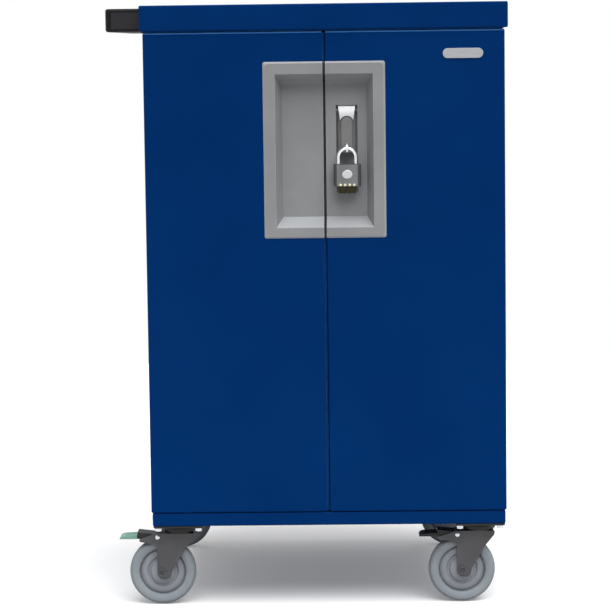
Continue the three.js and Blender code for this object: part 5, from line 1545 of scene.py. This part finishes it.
for tier in ("lower", "upper"):
    node = f"{tier}_divider_rack"
    show(f"{tier}_rack", rack_shape(node), "rack_coating", node)

# %% [markdown]
# Behind the partition hang two power strips. Each outlet is a shallow recess with two slots for the
# blades of a plug, all pushed into the strip's face one after another.

# %% Make the power strips
STRIP_EDGE = 2 * MM
OUTLET_HALF = Vector((16, 0, 13.5)) * MM
OUTLET_SUNK = Vector((0, 2, 0)) * MM
BLADE_SLOT = Vector((2.2, 0, 7)) * MM
BLADE_SPREAD = 12.7 * MM
BLADE_RISE = 2 * MM
BLADE_DEPTH = 5 * MM


def flat_at(bm, point, reach):
    """The widest face that looks back at the depth of a point and is centred within reach of it."""
    cells = [face for face in bm.faces if face.normal.y > FACING
             and abs(face.calc_center_bounds().y - point.y) < CLOSE
             and abs(face.calc_center_bounds().x - point.x) < reach]
    return max(cells, key=lambda face: face.calc_area())


def strip_shape(node):
    low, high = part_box(node)
    length = high.x - low.x
    strip = rounded_box(low, high, STRIP_EDGE)
    for index in range(RACK_SLOTS):
        x = low.x + (index + 0.5) * length / RACK_SLOTS
        centre = Vector((x, high.y, (low.z + high.z) / 2))
        sink_window(strip, flat_at(strip, centre, length), centre - OUTLET_HALF, centre + OUTLET_HALF,
                    OUTLET_SUNK.y)
        for side in (-1, 1):
            blade = centre + Vector((side * BLADE_SPREAD / 2, 0, BLADE_RISE))
            floor_face = flat_at(strip, centre - OUTLET_SUNK, 2 * OUTLET_HALF.x)
            sink_window(strip, floor_face, blade - BLADE_SLOT / 2, blade + BLADE_SLOT / 2, BLADE_DEPTH)
    return strip


for tier in ("lower", "upper"):
    node = f"{tier}_power_strip"
    show(f"{tier}_strip", strip_shape(node), "black_plastic", node)

# %% [markdown]
# Between the strips sits a control box. Its housing is a rounded box with a window for the rocker switch.

# %% Make the control box
HOUSING_EDGE = 3 * MM
SWITCH_ROOM = Vector((11.3, 0, 17.5)) * MM
SWITCH_DEPTH = 14 * MM

box_low, box_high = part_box("control_box")
switch_low, switch_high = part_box("rocker_switch")
housing = rounded_box(box_low, box_high, HOUSING_EDGE)
window = Vector(((switch_low.x + switch_high.x) / 2, box_high.y, (box_low.z + box_high.z) / 2))
sink_window(housing, widest_face(housing, BACK), window - SWITCH_ROOM, window + SWITCH_ROOM, SWITCH_DEPTH)
show("control_housing", housing, "grey_paint", "control_box")

# %% [markdown]
# The partition's sheet ends just above the base. A folded angle closes its foot, drawn in section and
# given the width of the partition.

# %% Close the foot of the partition
FOOT_LIP = 14 * MM
FOOT_RISE = 8 * MM

wall_low, wall_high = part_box("partition")
foot_base = base_low.z + SHEET + SEAT
foot_top = wall_low.z + FOOT_RISE
foot = plate("X", [
    (wall_high.y, foot_top, 0),
    (wall_high.y, foot_base, 0),
    (wall_high.y + FOOT_LIP, foot_base, 0),
    (wall_high.y + FOOT_LIP, foot_base + SHEET, 0),
    (wall_high.y + SHEET, foot_base + SHEET, SHEET),
    (wall_high.y + SHEET, foot_top, 0),
], wall_low.x + BEND, wall_high.x - BEND, edge=FINE_EDGE)
show("partition_foot", foot, "blue_powder_coat", body="cabinet")

# %% [markdown]
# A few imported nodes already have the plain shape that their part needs. They stay, and only get a finish.

# %% Finish the nodes that stay as they are
KEPT = {
    "blue_powder_coat": ["roof_panel", "partition"],
    "zinc_steel": ["upper_lock_rod", "lower_lock_rod"],
    "black_steel": ["left_door_top_pin", "left_door_bottom_pin",
                    "right_door_top_pin", "right_door_bottom_pin"],
    "black_plastic": ["rocker_switch", "power_inlet"],
}
for slot, nodes in KEPT.items():
    for node in nodes:
        mesh = frame["nodes"][node].data
        mesh.materials.clear()
        mesh.materials.append(finishes[slot])
    print(f"{slot}: {', '.join(nodes)}")
